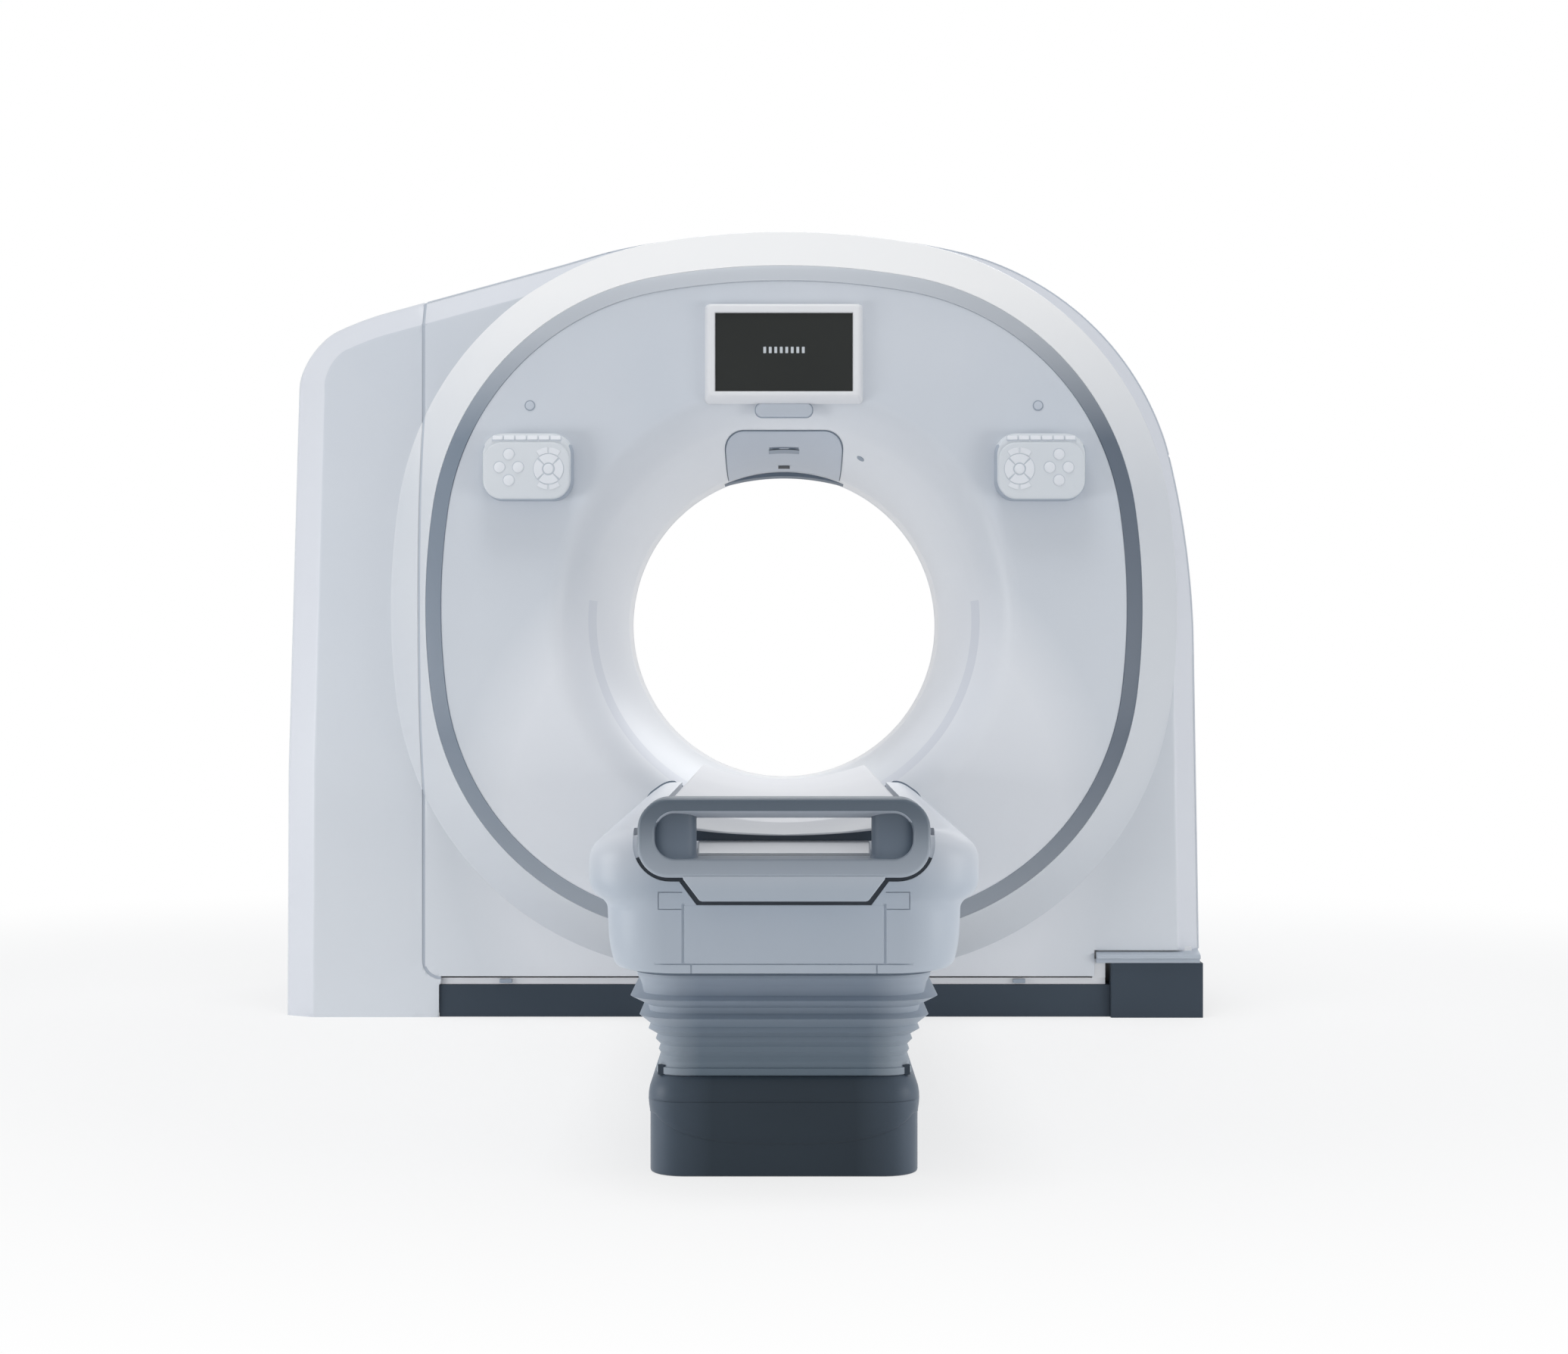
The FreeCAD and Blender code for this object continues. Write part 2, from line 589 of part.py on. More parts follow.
def make_plinth():
    face = block("plinth_face", ("plinth_left", "foot_left"),
                 ("plinth_front", "plinth_front + plinth_plate"), ("0", "plinth_height"))
    shelf = block("plinth_shelf", ("plinth_left", "notch_x"),
                  ("plinth_front + plinth_plate", "-frame_half_depth"),
                  ("plinth_height - plinth_plate", "front_bottom"))
    node("plinth", fuse("plinth", face, shelf))


def make_foot_box():
    box = block("foot_box_outside", ("foot_left", "foot_right"), ("foot_front", "rear_seam"),
                ("0", "foot_height"))
    room = block("foot_box_room", ("foot_left + wall", "foot_right - wall"),
                 ("foot_front + wall", "rear_seam - wall"), ("-wall", "foot_height - wall"))
    node("foot_box", cut("foot_box", box, room))
    lid = padded("foot_box_lid", "YZ_Plane", [
        ("foot_front", "foot_height"), ("foot_front", "lid_lip_height"),
        ("lid_front", "lid_lip_height"), ("lid_front", "lid_lip_top"),
        ("lid_front + lid_slope", "lid_height"), ("rear_seam", "lid_height"),
        ("rear_seam", "foot_height")], "foot_right - lid_left", "lid_left", "x")
    node("foot_box_lid", lid)


# ---- gantry frame, bearing and rotor ---------------------------------------------------------

def make_frame():
    y = ("-frame_half_depth", "frame_half_depth")
    deck = block("frame_deck", ("frame_left", "foot_left"), y, ("0", "frame_height"))
    stand = block("motor_stand", ("motor_x - shaft_radius * 3", "motor_x + shaft_radius * 3"),
                  ("rotor_front + race_step", "motor_back"),
                  ("frame_height", "motor_z - motor_radius"))
    holes = []
    for side in ("-anchor_across", "anchor_across"):
        for end in ("-anchor_along", "anchor_along"):
            holes.append(post("anchor_hole", "anchor_radius", ("-wall", "frame_height + wall"),
                              side, end))
    body = fuse("frame_body", deck, stand)
    node("gantry_base_frame", cut("gantry_base_frame", body, *holes))


def tube_ring(name, inner, outer, y):
    solid = rod(name + "_outside", outer, y, z="bore_height")
    return cut(name, solid, rod(name + "_inside", inner, y, z="bore_height"))


def make_stator():
    y = ("stator_front", "stator_back")
    disc = rod("stator_disc", "stator_outer", y, z="bore_height")
    legs = []
    for side in (-1, 1):
        across = (f"{side} * leg_across - leg_width / 2", f"{side} * leg_across + leg_width / 2")
        legs.append(block("stator_leg", across, ("stator_front", "stator_front + leg_depth"),
                          ("frame_height", "bore_height")))
    clear = rod("stator_bore", "stator_inner", ("stator_front - wall", "stator_front + "
                "leg_depth + wall"), z="bore_height")
    node("stator_ring", cut("stator_ring", fuse("stator_body", disc, *legs), clear))
    node("bearing_outer_race", tube_ring("bearing_outer_race", "race_split", "race_outer",
                                         ("rotor_back + race_step", "stator_front")))
    node("bearing_inner_race", tube_ring("bearing_inner_race", "stator_inner",
                                         "race_split - race_gap",
                                         ("rotor_back", "stator_front - race_step")))


def make_rotor_drum():
    """Plate and rim turned as one casting, with a circle of lightening windows."""
    body = doc.addObject("PartDesign::Body", "rotor_drum")
    sketch = sketch_polygon(body, "drum_section", "XY_Plane", [
        ("rotor_inner", "rotor_front"), ("rotor_outer - rim_wall", "rotor_front"),
        ("rotor_outer - rim_wall", "rim_front"), ("rotor_outer", "rim_front"),
        ("rotor_outer", "rotor_back"), ("rotor_inner", "rotor_back")])
    turned = body.newObject("PartDesign::Revolution", "drum_turned")
    turned.Profile = sketch
    turned.ReferenceAxis = (plane_of(body, "Y_Axis"), [""])
    turned.Angle = 360
    doc.recompute()
    hole_sketch = body.newObject("Sketcher::SketchObject", "window_outline")
    hole_sketch.AttachmentSupport = [(plane_of(body, "XZ_Plane"), "")]
    hole_sketch.MapMode = "FlatFace"
    circle = Part.Circle(Vector(0, S.window_circle, 0), Vector(0, 0, 1), S.window_radius)
    hole_sketch.addGeometry(circle, False)
    for kind, where, alias in (("DistanceY", (-1, 1, 0, 3), "window_circle"),
                               ("Radius", (0,), "window_radius")):
        index = hole_sketch.addConstraint(Sketcher.Constraint(kind, *where, getattr(S, alias)))
        hole_sketch.setExpression(f"Constraints[{index}]", in_sheet(alias))
    hole_sketch.addConstraint(Sketcher.Constraint("PointOnObject", 0, 3, -2))
    window = body.newObject("PartDesign::Pocket", "window")
    window.Profile = hole_sketch
    window.Type = "ThroughAll"
    window.Midplane = True
    pattern = body.newObject("PartDesign::PolarPattern", "windows")
    pattern.Originals = [window]
    pattern.Axis = (plane_of(body, "Y_Axis"), [""])
    pattern.Angle = 360
    pattern.Occurrences = int(S.window_count)
    body.Tip = pattern
    bind(body, Placement__Base__z="bore_height")
    node("rotor_drum", body)


def radial(thing, angle, across, y, inner):
    """Turn a box drawn at the top of the rotor to its own angle about the rotor's axis."""
    turned = Placement(ISO, Rotation(Vector(0, 1, 0), 90 - angle))
    thing.Placement = turned.multiply(Placement(Vector(-across / 2, y, inner), Rotation()))
    return thing


def carried_box(name, angle, width, depth, inner="carried_inner"):
    """A box bolted to the front of the rotor plate, its inner face square to the radius."""
    box = doc.addObject("Part::Box", name)
    bind(box, Length=width, Width="rotor_front - carried_front", Height=depth)
    return radial(box, angle, getattr(S, width), S.carried_front, getattr(S, inner))


def make_carried():
    tube = rod("xray_tube", "tube_radius", ("tube_front", "rotor_front"),
               z="bore_height + tube_circle")
    node("xray_tube", tube)
    node("collimator", carried_box("collimator", 90, "collimator_width", "collimator_depth",
                                   "collimator_inner"))
    node("hv_tank", carried_box("hv_tank", S.tank_angle, "tank_width", "tank_depth"))
    exchanger = carried_box("exchanger_block", S.exchanger_angle, "exchanger_width",
                            "exchanger_depth")
    slots = []
    pitch = S.exchanger_width / (S.fin_count + 1)
    for index in range(int(S.fin_count)):
        slot = doc.addObject("Part::Box", "fin_slot")
        bind(slot, Length="fin_slot", Width="rotor_front - carried_front", Height="fin_slot_depth")
        turned = Placement(ISO, Rotation(Vector(0, 1, 0), 90 - S.exchanger_angle))
        place = Vector((index + 1) * pitch - S.exchanger_width / 2 - S.fin_slot / 2,
                       S.carried_front,
                       S.carried_inner + S.exchanger_depth - S.fin_slot_depth)
        slot.Placement = turned.multiply(Placement(place, Rotation()))
        slots.append(slot)
    node("heat_exchanger", cut("heat_exchanger", exchanger, *slots))
    node("counterweight", carried_box("counterweight", S.weight_angle, "weight_width",
                                      "weight_depth"))


def make_detector():
    y, height = S.detector_front, S.bore_height
    half = math.radians(S.detector_half_angle)

    def at(radius, angle):
        return xz(radius * math.sin(angle), y, height - radius * math.cos(angle))

    inner, outer = S.detector_inner, S.detector_outer
    wire = Part.Wire([arc(at(inner, -half), at(inner, 0), at(inner, half)),
                      line(at(inner, half), at(outer, half)),
                      arc(at(outer, half), at(outer, 0), at(outer, -half)),
                      line(at(outer, -half), at(inner, -half))])
    node("detector_arc", formed("detector_arc", along_y(wire, y, S.rotor_front)))


def make_slip_ring():
    ring = tube_ring("slip_ring_blank", "slip_inner", "slip_outer", ("rotor_back", "slip_back"))
    grooves = []
    for index in range(int(S.slip_count)):
        middle = f"slip_inner + (slip_outer - slip_inner) * {index + 1} / (slip_count + 1)"
        grooves.append(tube_ring("slip_groove", f"{middle} - slip_groove / 2",
                                 f"{middle} + slip_groove / 2",
                                 ("slip_back - slip_groove", "slip_back + wall")))
    node("slip_ring", cut("slip_ring", ring, *grooves))
    brush = doc.addObject("Part::Box", "brush_block")
    bind(brush, Length="brush_width", Width="stator_front - slip_back - race_gap",
         Height="brush_depth")
    middle = (S.slip_inner + S.slip_outer - S.brush_depth) / 2
    node("brush_block", radial(brush, S.brush_angle, S.brush_width, S.slip_back + S.race_gap,
                               middle))


def belt_outline(grow, y):
    """The belt's loop about the rim and the pulley, grown from the rim's face."""
    big, small = S.rotor_outer + grow, S.pulley_radius + grow
    away = Vector(S.motor_x, 0, S.motor_z - S.bore_height)
    gap = away.Length
    lean = math.acos((big - small) / gap)
    toward = math.atan2(away.z, away.x)
    pulley = Vector(S.motor_x, 0, S.motor_z)

    def at(centre, radius, angle):
        return Vector(centre.x + radius * math.cos(angle), y, centre.z + radius * math.sin(angle))

    ends = [(at(ISO, big, toward + side * lean), at(pulley, small, toward + side * lean))
            for side in (1, -1)]
    return Part.Wire([line(*ends[0]), arc(ends[0][1], at(pulley, small, toward), ends[1][1]),
                      line(ends[1][1], ends[1][0]),
                      arc(ends[1][0], at(ISO, big, toward + math.pi), ends[0][0])])


def make_drive():
    solid = along_y(belt_outline(S.belt_gap + S.belt_thickness, S.belt_front), S.belt_front,
                    S.belt_back)
    hollow = along_y(belt_outline(S.belt_gap, S.belt_front), S.belt_front, S.belt_back)
    node("drive_belt", formed("drive_belt", solid.cut(hollow)))
    motor = rod("motor_body", "motor_radius", ("rotor_front + race_step", "motor_back"),
                x="motor_x", z="motor_z")
    hub = rod("motor_shaft", "shaft_radius",
              ("belt_front - race_step", "rotor_front + race_step"), x="motor_x", z="motor_z")
    node("drive_motor", fuse("drive_motor", motor, hub))
    rim = rod("pulley_rim", "pulley_radius", ("belt_front - pulley_lip", "belt_back"),
              x="motor_x", z="motor_z")
    bore = rod("pulley_bore", "shaft_radius + race_gap",
               ("belt_front - shaft_radius", "belt_back + shaft_radius"), x="motor_x",
               z="motor_z")
    node("motor_pulley", cut("motor_pulley", rim, bore))
    cabinet = block("power_cabinet", ("cabinet_left", "cabinet_right"),
                    ("-cabinet_half_depth", "cabinet_half_depth"),
                    ("frame_height", "cabinet_height"))
    node("power_cabinet", cabinet)


# ---- pieces on the gantry's face -------------------------------------------------------------

def make_display(body):
    """The bezel fits the face behind it, and holds the glass in a pocket."""
    y = S.bezel_front
    wide = S.bezel_width / 2
    low, high = S.bezel_bottom, S.bezel_top
    corners = [xz(-wide - S.bezel_flare, y, low), xz(wide + S.bezel_flare, y, low),
               xz(wide, y, low + S.bezel_flare * 3), xz(wide, y, high), xz(-wide, y, high),
               xz(-wide, y, low + S.bezel_flare * 3)]
    frame = along_y(Part.makePolygon(corners + corners[:1]), y, S.throat_front)
    frame = rounded_front(frame, y, S.bezel_corner)
    room = (-S.screen_width / 2, S.screen_width / 2)
    tall = (S.screen_middle - S.screen_height / 2, S.screen_middle + S.screen_height / 2)
    pocket = box_between(room, (y - 1, y + S.screen_sink + S.screen_glass), tall)
    node("display_bezel", formed("display_bezel", frame.cut(body).cut(pocket)
                                 .common(slab(y=(-FAR, S.ring_front + S.bezel_seat)))))
    glass = block("display_screen", ("-screen_width / 2", "screen_width / 2"),
                  ("bezel_front + screen_sink", "bezel_front + screen_sink + screen_glass"),
                  ("screen_middle - screen_height / 2", "screen_middle + screen_height / 2"))
    node("display_screen", glass)
    half = S.tab_width / 2
    middle = (S.tab_top + S.tab_bottom) / 2
    wire = rounded_rectangle(half, S.tab_top - middle, S.tab_corner,
                             lambda u, v: xz(u, S.tab_front, middle + v))
    tab = along_y(wire, S.tab_front, S.throat_front).cut(body)
    node("display_tab", formed("display_tab",
                               tab.common(slab(y=(-FAR, S.ring_front + S.tab_seat)))))


def make_laser_cover():
    """A thin cover that follows the flare above the bore, with a finger slot and a window."""
    def skin(depth):
        return bore_solid(0, 0).cut(bore_solid(-depth, S.ring_recess))

    middle = (S.laser_top + S.bore_height) / 2
    wire = rounded_rectangle(S.laser_width / 2, S.laser_top - middle, S.laser_corner,
                             lambda u, v: xz(u, S.ring_front, middle + v))
    region = along_y(wire, S.ring_front, S.throat_front + S.laser_past)
    slot = slab(x=(-S.grip_width / 2, S.grip_width / 2), y=(-FAR, 0),
                z=(S.grip_z - S.grip_height / 2, S.grip_z + S.grip_height / 2))
    pane = slab(x=(-S.pane_width / 2, S.pane_width / 2), y=(-FAR, 0),
                z=(S.pane_z - S.pane_height / 2, S.pane_z + S.pane_height / 2))
    cover = skin(S.laser_skin).common(region)
    node("laser_cover", formed("laser_cover", cover.cut(slot).cut(pane)))
    node("laser_window", formed("laser_window",
                                skin(S.pane_skin).common(region).common(pane)))


def make_small_trim():
    y = ("ring_front + ring_recess - plug_height", "ring_front + ring_recess")
    plugs = [rod("plug", "plug_radius", y, x=f"{side} * plug_x", z="plug_z") for side in (-1, 1)]
    latches = []
    for side in ("latch_left", "latch_right"):
        latches.append(block("latch", (f"{side} - latch_width / 2", f"{side} + latch_width / 2"),
                             ("oval_back", "plinth_front"),
                             ("plinth_height", "plinth_height + latch_height")))
    node("cover_fasteners", group("cover_fasteners", *plugs, *latches))


# ---- control panels --------------------------------------------------------------------------

def button_places(side):
    """The four round buttons of a panel, in a diamond on its outer half, as expressions."""
    x, z = f"{side} * (panel_x + button_across", "panel_z - button_drop"
    return [(x + ")", z + " + button_rise"), (x + " + button_spread)", z),
            (x + " - button_spread)", z), (x + ")", z + " - button_rise")]


def rounded_front(solid, y, radius):
    """The solid with the edges of its face at Y = y rounded."""
    rim = [edge for edge in solid.Edges if edge.BoundBox.YLength < 0.01
           and abs(edge.BoundBox.YMin - y) < 0.01]
    return solid.makeFillet(radius, rim)


def disc(radius, place, start, end):
    return Part.makeCylinder(radius, end - start, xz(place[0], start, place[1]), Vector(0, 1, 0))


def make_panel(name, side):
    y, x0, z0 = S.panel_front, side * S.panel_x, S.panel_z
    wire = rounded_rectangle(S.panel_width / 2, S.panel_height / 2, S.panel_corner,
                             lambda u, v: xz(x0 + u, y + S.face_sink, z0 + v))
    shoulder = y + S.face_sink
    housing = along_y(wire, shoulder, S.ring_front + S.ring_recess)
    housing = rounded_front(housing, shoulder, S.panel_edge)
    face_middle, face_half = (S.face_high - S.face_low) / 2, (S.face_high + S.face_low) / 2
    wire = rounded_rectangle(S.face_width / 2, face_half, S.face_corner,
                             lambda u, v: xz(x0 + u, y, z0 + face_middle + v))
    face = rounded_front(along_y(wire, y, shoulder + S.panel_edge), y, S.face_edge)
    housing = housing.fuse(face)
    places = button_places(side)
    centre = (f"{side} * (panel_x - nav_across)", "panel_z - nav_drop")
    nav = tuple(number(term) for term in centre)
    well_end = y + S.button_sunk + S.button_travel + S.seat_gap
    wells = [disc(S.button_radius + S.button_gap, [number(term) for term in place], y - 1,
                  well_end) for place in places]
    wells.append(disc(S.nav_centre + S.button_gap, nav, y - 1, well_end))
    node(name + "_panel", formed(name + "_panel", housing.cut(wells[0].multiFuse(wells[1:]))))
    node(name + "_keypad", formed(name + "_keypad", keypad(x0, z0, nav, y)))
    for index, place in enumerate(places, 1):
        make_button(f"{name}_button_{index}", "button_radius", place)
    make_button(name + "_centre_button", "nav_centre", centre)


def keypad(x0, z0, nav, y):
    """Raised rubber keys: a quartered round pad, four dots, and a row on the shoulder above."""
    top = y - S.key_proud
    pad = disc(S.nav_radius, nav, top, y)
    pad = pad.cut(disc(S.nav_centre + S.button_gap, nav, top - 1, y + 1))
    reach, half = S.nav_radius + 1, S.nav_groove / 2
    for angle in (45, 135):
        bar = box_between((-reach, reach), (top, top + S.key_proud / 2), (-half, half))
        bar.Placement = Placement(xz(nav[0], 0, nav[1]), Rotation(Vector(0, 1, 0), angle))
        pad = pad.cut(bar)
    keys = [pad]
    seat = y + S.face_sink
    low = z0 + S.key_rise - S.key_height / 2
    for column in range(int(S.key_count)):
        x = x0 + (column - (S.key_count - 1) / 2) * S.key_pitch
        keys.append(box_between((x - S.key_width / 2, x + S.key_width / 2),
                                (seat - S.key_proud, seat), (low, low + S.key_height)))
    for up in (-1, 1):
        for across in (-1, 1):
            place = (nav[0] + across * S.dot_across, nav[1] + up * (S.nav_radius + S.dot_gap))
            keys.append(disc(S.dot_radius, place, top, y))
    return Part.makeCompound(keys)


def make_button(name, radius, place):
    thing = rod(name, radius, ("panel_front - button_proud", "panel_front + button_sunk"),
                x=place[0], z=place[1])
    node(name, thing)


# ---- patient table ---------------------------------------------------------------------------

def base_outline(inset, z, corner):
    """A round-cornered rectangle about the table's base at a height."""
    half = S.base_half_width - inset
    front, back = S.base_front + inset, S.base_back - inset
    middle, long_half = (front + back) / 2, (back - front) / 2
    return rounded_rectangle(half, long_half, corner, lambda u, v: Vector(u, middle + v, z))


def make_table_base():
    outline = base_outline(S.base_wall, 0, S.base_corner)
    plate = Part.Face(outline).extrude(Vector(0, 0, S.plate_height))
    holes = []
    for side in (-1, 1):
        for end in ("table_anchor_near", "table_anchor_far"):
            holes.append(post("table_anchor_hole", "table_anchor_radius",
                              ("-wall", "plate_height + wall"),
                              f"{side} * table_anchor_across", end))
    node("table_base_plate", cut("table_base_plate", formed("plate_blank", plate), *holes))

    def stack(levels, wall):
        corner = S.base_corner
        wires = [base_outline(inset + wall, z, corner - inset - wall) for inset, z in levels]
        return Part.makeLoft(wires, True, True)

    low = [(0, 0), (0, S.base_split)]
    skirt = stack(low, 0).cut(stack([(0, -1), (0, S.base_split + 1)], S.base_wall))
    node("table_base_skirt", formed("table_base_skirt", skirt))
    high = [(0, S.base_split), (-S.base_bulge, S.base_bulge_z),
            (0, (S.base_bulge_z + S.base_height) / 2), (S.base_shoulder, S.base_height)]
    inner = [(0, S.base_split - 1), (0, S.base_bulge_z), (S.base_wall, S.base_height - S.wall)]
    room = stack(inner, S.base_wall)
    mouth = base_outline(S.base_shoulder + S.bellows_inset * 2, S.base_height - S.wall - 1,
                         S.mouth_corner)
    mouth = Part.Face(mouth).extrude(Vector(0, 0, 2 * S.wall))
    cover = stack(high, 0).cut(room).cut(mouth)
    y = S.base_front - S.tongue_thickness
    half = S.base_half_width - S.base_corner
    top = S.base_bulge_z
    tongue = Part.Wire([
        line(xz(half, y, top), xz(-half, y, top)),
        arc(xz(-half, y, top), xz(0, y, S.tongue_bottom), xz(half, y, top))])
    cover = cover.fuse(along_y(tongue, y, S.base_front).cut(stack(high, 0)))
    node("table_base_cover", formed("table_base_cover", cover.removeSplitter()))


def column_stage(name, index, low, high):
    """One square tube of the telescopic column."""
    outer = f"column_half - {index} * (column_wall + column_gap)"
    inner = f"{outer} - column_wall"
    y0 = "column_y"

    def prism(label, half, z):
        return block(label, (f"-({half})", half), (f"{y0} - ({half})", f"{y0} + ({half})"), z)

    return cut(name, prism(name + "_outside", outer, (low, high)),
               prism(name + "_inside", inner, (f"{low} - wall", f"{high} + wall")))


def make_column():
    node("column_outer", column_stage("column_outer", 0, "plate_height", "column_outer_top"))
    node("column_mid", column_stage("column_mid", 1, "plate_height + column_step",
                                    "column_mid_top"))
    low = "plate_height + 2 * column_step"
    tube = column_stage("column_inner_tube", 2, low, "bellows_top - column_wall")
    top = block("lift_plate", ("-bellows_half_top + bellows_inset * 3",
                               "bellows_half_top - bellows_inset * 3"),
                ("base_front + bellows_inset", "base_back - bellows_inset"),
                ("bellows_top - column_wall", "bellows_top"))
    node("lift_frame", fuse("lift_frame", tube, top))


def bellows_section(z, share, out, wall):
    """A round-cornered outline of the bellows at a height; share is 0 at the foot, 1 on top."""
    half = S.bellows_half_bottom + share * (S.bellows_half_top - S.bellows_half_bottom)
    grow = half - S.base_half_width + out - wall
    return base_outline(-grow, z, S.bellows_corner + out - wall)


def bellows_stack(wall, past):
    """Pleats, sharper toward the top: outlines that stand out and draw in by turns."""
    low, high = S.base_height + S.bellows_flange, S.bellows_top - S.column_wall
    steps = 2 * int(S.pleat_count)
    levels = [(S.base_height - past, 0, 0), (low, 0, 0)]
    for index in range(1, steps):
        share = index / steps
        depth = S.pleat_depth * (S.pleat_shallow + share * (1 - S.pleat_shallow))
        levels.append((low + share * (high - low), share**2,
                       depth / 2 if index % 2 else -depth / 2))
    levels += [(high, 1, 0), (S.bellows_top - S.column_wall + past, 1, 0)]
    if past == 0:
        levels.pop()
    wires = [bellows_section(z, share, out, wall) for z, share, out in levels]
    return Part.makeLoft(wires, True, True)


def make_bellows():
    skin = bellows_stack(0, 0).cut(bellows_stack(S.bellows_wall, 1))
    node("bellows", formed("bellows", skin))


def mirrored(half, y, squeeze=1.0):
    """Edges from a list of half-outline runs, on both sides of the middle plane."""
    edges = []
    for mirror in (squeeze, -squeeze):
        for points in half:
            ends = [xz(mirror * p[0], y, p[1]) for p in points]
            edges.append(arc(*ends) if len(ends) == 3 else line(*ends))
    return edges


def table_profile(y, inset):
    """The table body's section: belly, shoulder and rail, drawn in toward the foot end."""
    belly_middle = (S.belly_half - S.belly_bow, (S.body_bottom + S.belly_top) / 2)
    edges = mirrored([
        ((S.belly_foot, S.body_bottom), belly_middle, (S.belly_half, S.belly_top)),
        ((S.belly_half, S.belly_top), (S.shoulder_low, S.shoulder_low_z)),
        ((S.shoulder_low, S.shoulder_low_z), (S.shoulder_half, S.shoulder_z),
         (S.shoulder_top, S.shoulder_top_z)),
        ((S.shoulder_top, S.shoulder_top_z), (S.rail_out, S.rail_z)),
        ((S.rail_out, S.rail_z), (0, S.rail_z)),
        ((0, S.body_bottom), (S.belly_foot, S.body_bottom))],
        y, 1 - inset / S.shoulder_half)
    return Part.Wire(Part.__sortEdges__(edges))


def table_block():
    """The body's outside: straight sides that turn in round the foot end."""
    wires = []
    for step in range(int(S.end_steps) + 1):
        turn = math.pi / 2 * step / S.end_steps
        wires.append(table_profile(S.body_front + S.end_round * (1 - math.cos(turn)),
                                   S.end_round * (1 - math.sin(turn))))
    round_end = Part.makeLoft(wires, True, True)
    start = S.body_front + S.end_round
    return round_end.fuse(along_y(table_profile(start, 0), start, S.body_back))


def trough(start, end):
    """The trough that the cradle and its handle run in, open to the top."""
    gap = S.trough_gap
    wide, low, corner = S.handle_half + gap, S.handle_bottom - gap, S.handle_corner + gap
    k = corner * (1 - math.sqrt(0.5))
    foot, apron, floor = S.apron_foot_half + gap, S.apron_half + gap, S.apron_bottom - gap
    edges = mirrored([
        ((0, floor), (foot, floor)), ((foot, floor), (apron, low)),
        ((apron, low), (wide - corner, low)),
        ((wide - corner, low), (wide - k, low + k), (wide, low + corner)),
        ((wide, low + corner), (wide, S.rail_in_z)),
        ((wide, S.rail_in_z), (S.rail_out, S.rail_z)),
        ((S.rail_out, S.rail_z), (S.rail_out, S.handle_top)),
        ((S.rail_out, S.handle_top), (0, S.handle_top))], start)
    return along_y(Part.Wire(Part.__sortEdges__(edges)), start, end)


def under_cradle(y, sink=0):
    """The arc along the cradle's underside, lowered by a distance, and the line that closes it."""
    half, low, edge = S.cradle_half, S.cradle_bottom - sink, S.cradle_edge - sink
    return [arc(xz(-half, y, edge), xz(0, y, low), xz(half, y, edge)),
            line(xz(half, y, edge), xz(-half, y, edge))]


def cradle_profile(y, edge, sink=0):
    """The cradle's crescent section, lowered by a distance; edge is its underside's end."""
    half = S.cradle_half
    low, edge = S.cradle_bottom - sink, edge - sink
    top, edge_top = S.cradle_top - sink, S.cradle_edge_top - sink
    return Part.Wire([
        arc(xz(-half, y, edge), xz(0, y, low), xz(half, y, edge)),
        line(xz(half, y, edge), xz(half, y, edge_top)),
        arc(xz(half, y, edge_top), xz(0, y, top), xz(-half, y, edge_top)),
        line(xz(-half, y, edge_top), xz(-half, y, edge))])


def make_table_top():
    body = table_block().cut(trough(S.body_front, S.body_back))
    cavity = box_between((-S.cavity_half, S.cavity_half),
                         (S.body_front + S.end_panel_thickness, S.body_back - S.body_wall),
                         (S.body_bottom + S.body_wall, S.cavity_top))
    mouth = box_between((-S.end_panel_half, S.end_panel_half),
                        (S.body_front - 1, S.body_front + S.end_panel_thickness + 1),
                        (S.end_panel_bottom, S.end_panel_top))
    saddle_y = S.body_back - S.glide_length
    low = S.apron_bottom - S.trough_gap
    saddle = box_between((-S.cradle_half, S.cradle_half), (saddle_y, S.body_back),
                         (low, S.cradle_edge))
    above = along_y(cradle_profile(saddle_y, S.cradle_edge, S.seat_gap), saddle_y, S.body_back)
    above = above.fuse(slab(y=(saddle_y, S.body_back), z=(S.cradle_edge - S.seat_gap, FAR)))
    over = along_y(Part.Wire(under_cradle(saddle_y, S.seat_gap)), saddle_y, S.body_back)
    saddle = saddle.cut(above).cut(over)
    shape = body.cut(cavity).cut(mouth).fuse(saddle).removeSplitter()
    node("table_body", formed("table_body", shape))
    panel = block("table_end_panel", ("-end_panel_half", "end_panel_half"),
                  ("body_front + end_panel_recess",
                   "body_front + end_panel_recess + end_panel_thickness"),
                  ("end_panel_bottom", "end_panel_top"))
    node("table_end_panel", panel)


def make_cradle():
    """The cradle with its end flange; under it a carriage: plate, neck above and shoe below."""
    y, back = S.cradle_front, S.carriage_back
    cradle = along_y(cradle_profile(y, S.cradle_edge), y, S.body_back)
    flange = along_y(cradle_profile(y, S.flange_edge), y, y + S.flange_depth)
    node("cradle", formed("cradle", cradle.fuse(flange).removeSplitter()))
    recessed = (y + S.neck_recess, back)
    plate = box_between((-S.carriage_half, S.carriage_half), (y, back),
                        (S.carriage_bottom, S.carriage_top))
    neck = box_between((-S.neck_half, S.neck_half), recessed, (S.carriage_top, S.cradle_edge))
    shoe = box_between((-S.shoe_half, S.shoe_half), recessed,
                       (S.handle_bottom - S.trough_gap + S.seat_gap, S.carriage_bottom))
    neck = neck.cut(along_y(Part.Wire(under_cradle(y)), y, back))
    carriage = plate.multiFuse([neck, shoe]).removeSplitter()
    node("slide_carriage", formed("slide_carriage", carriage))


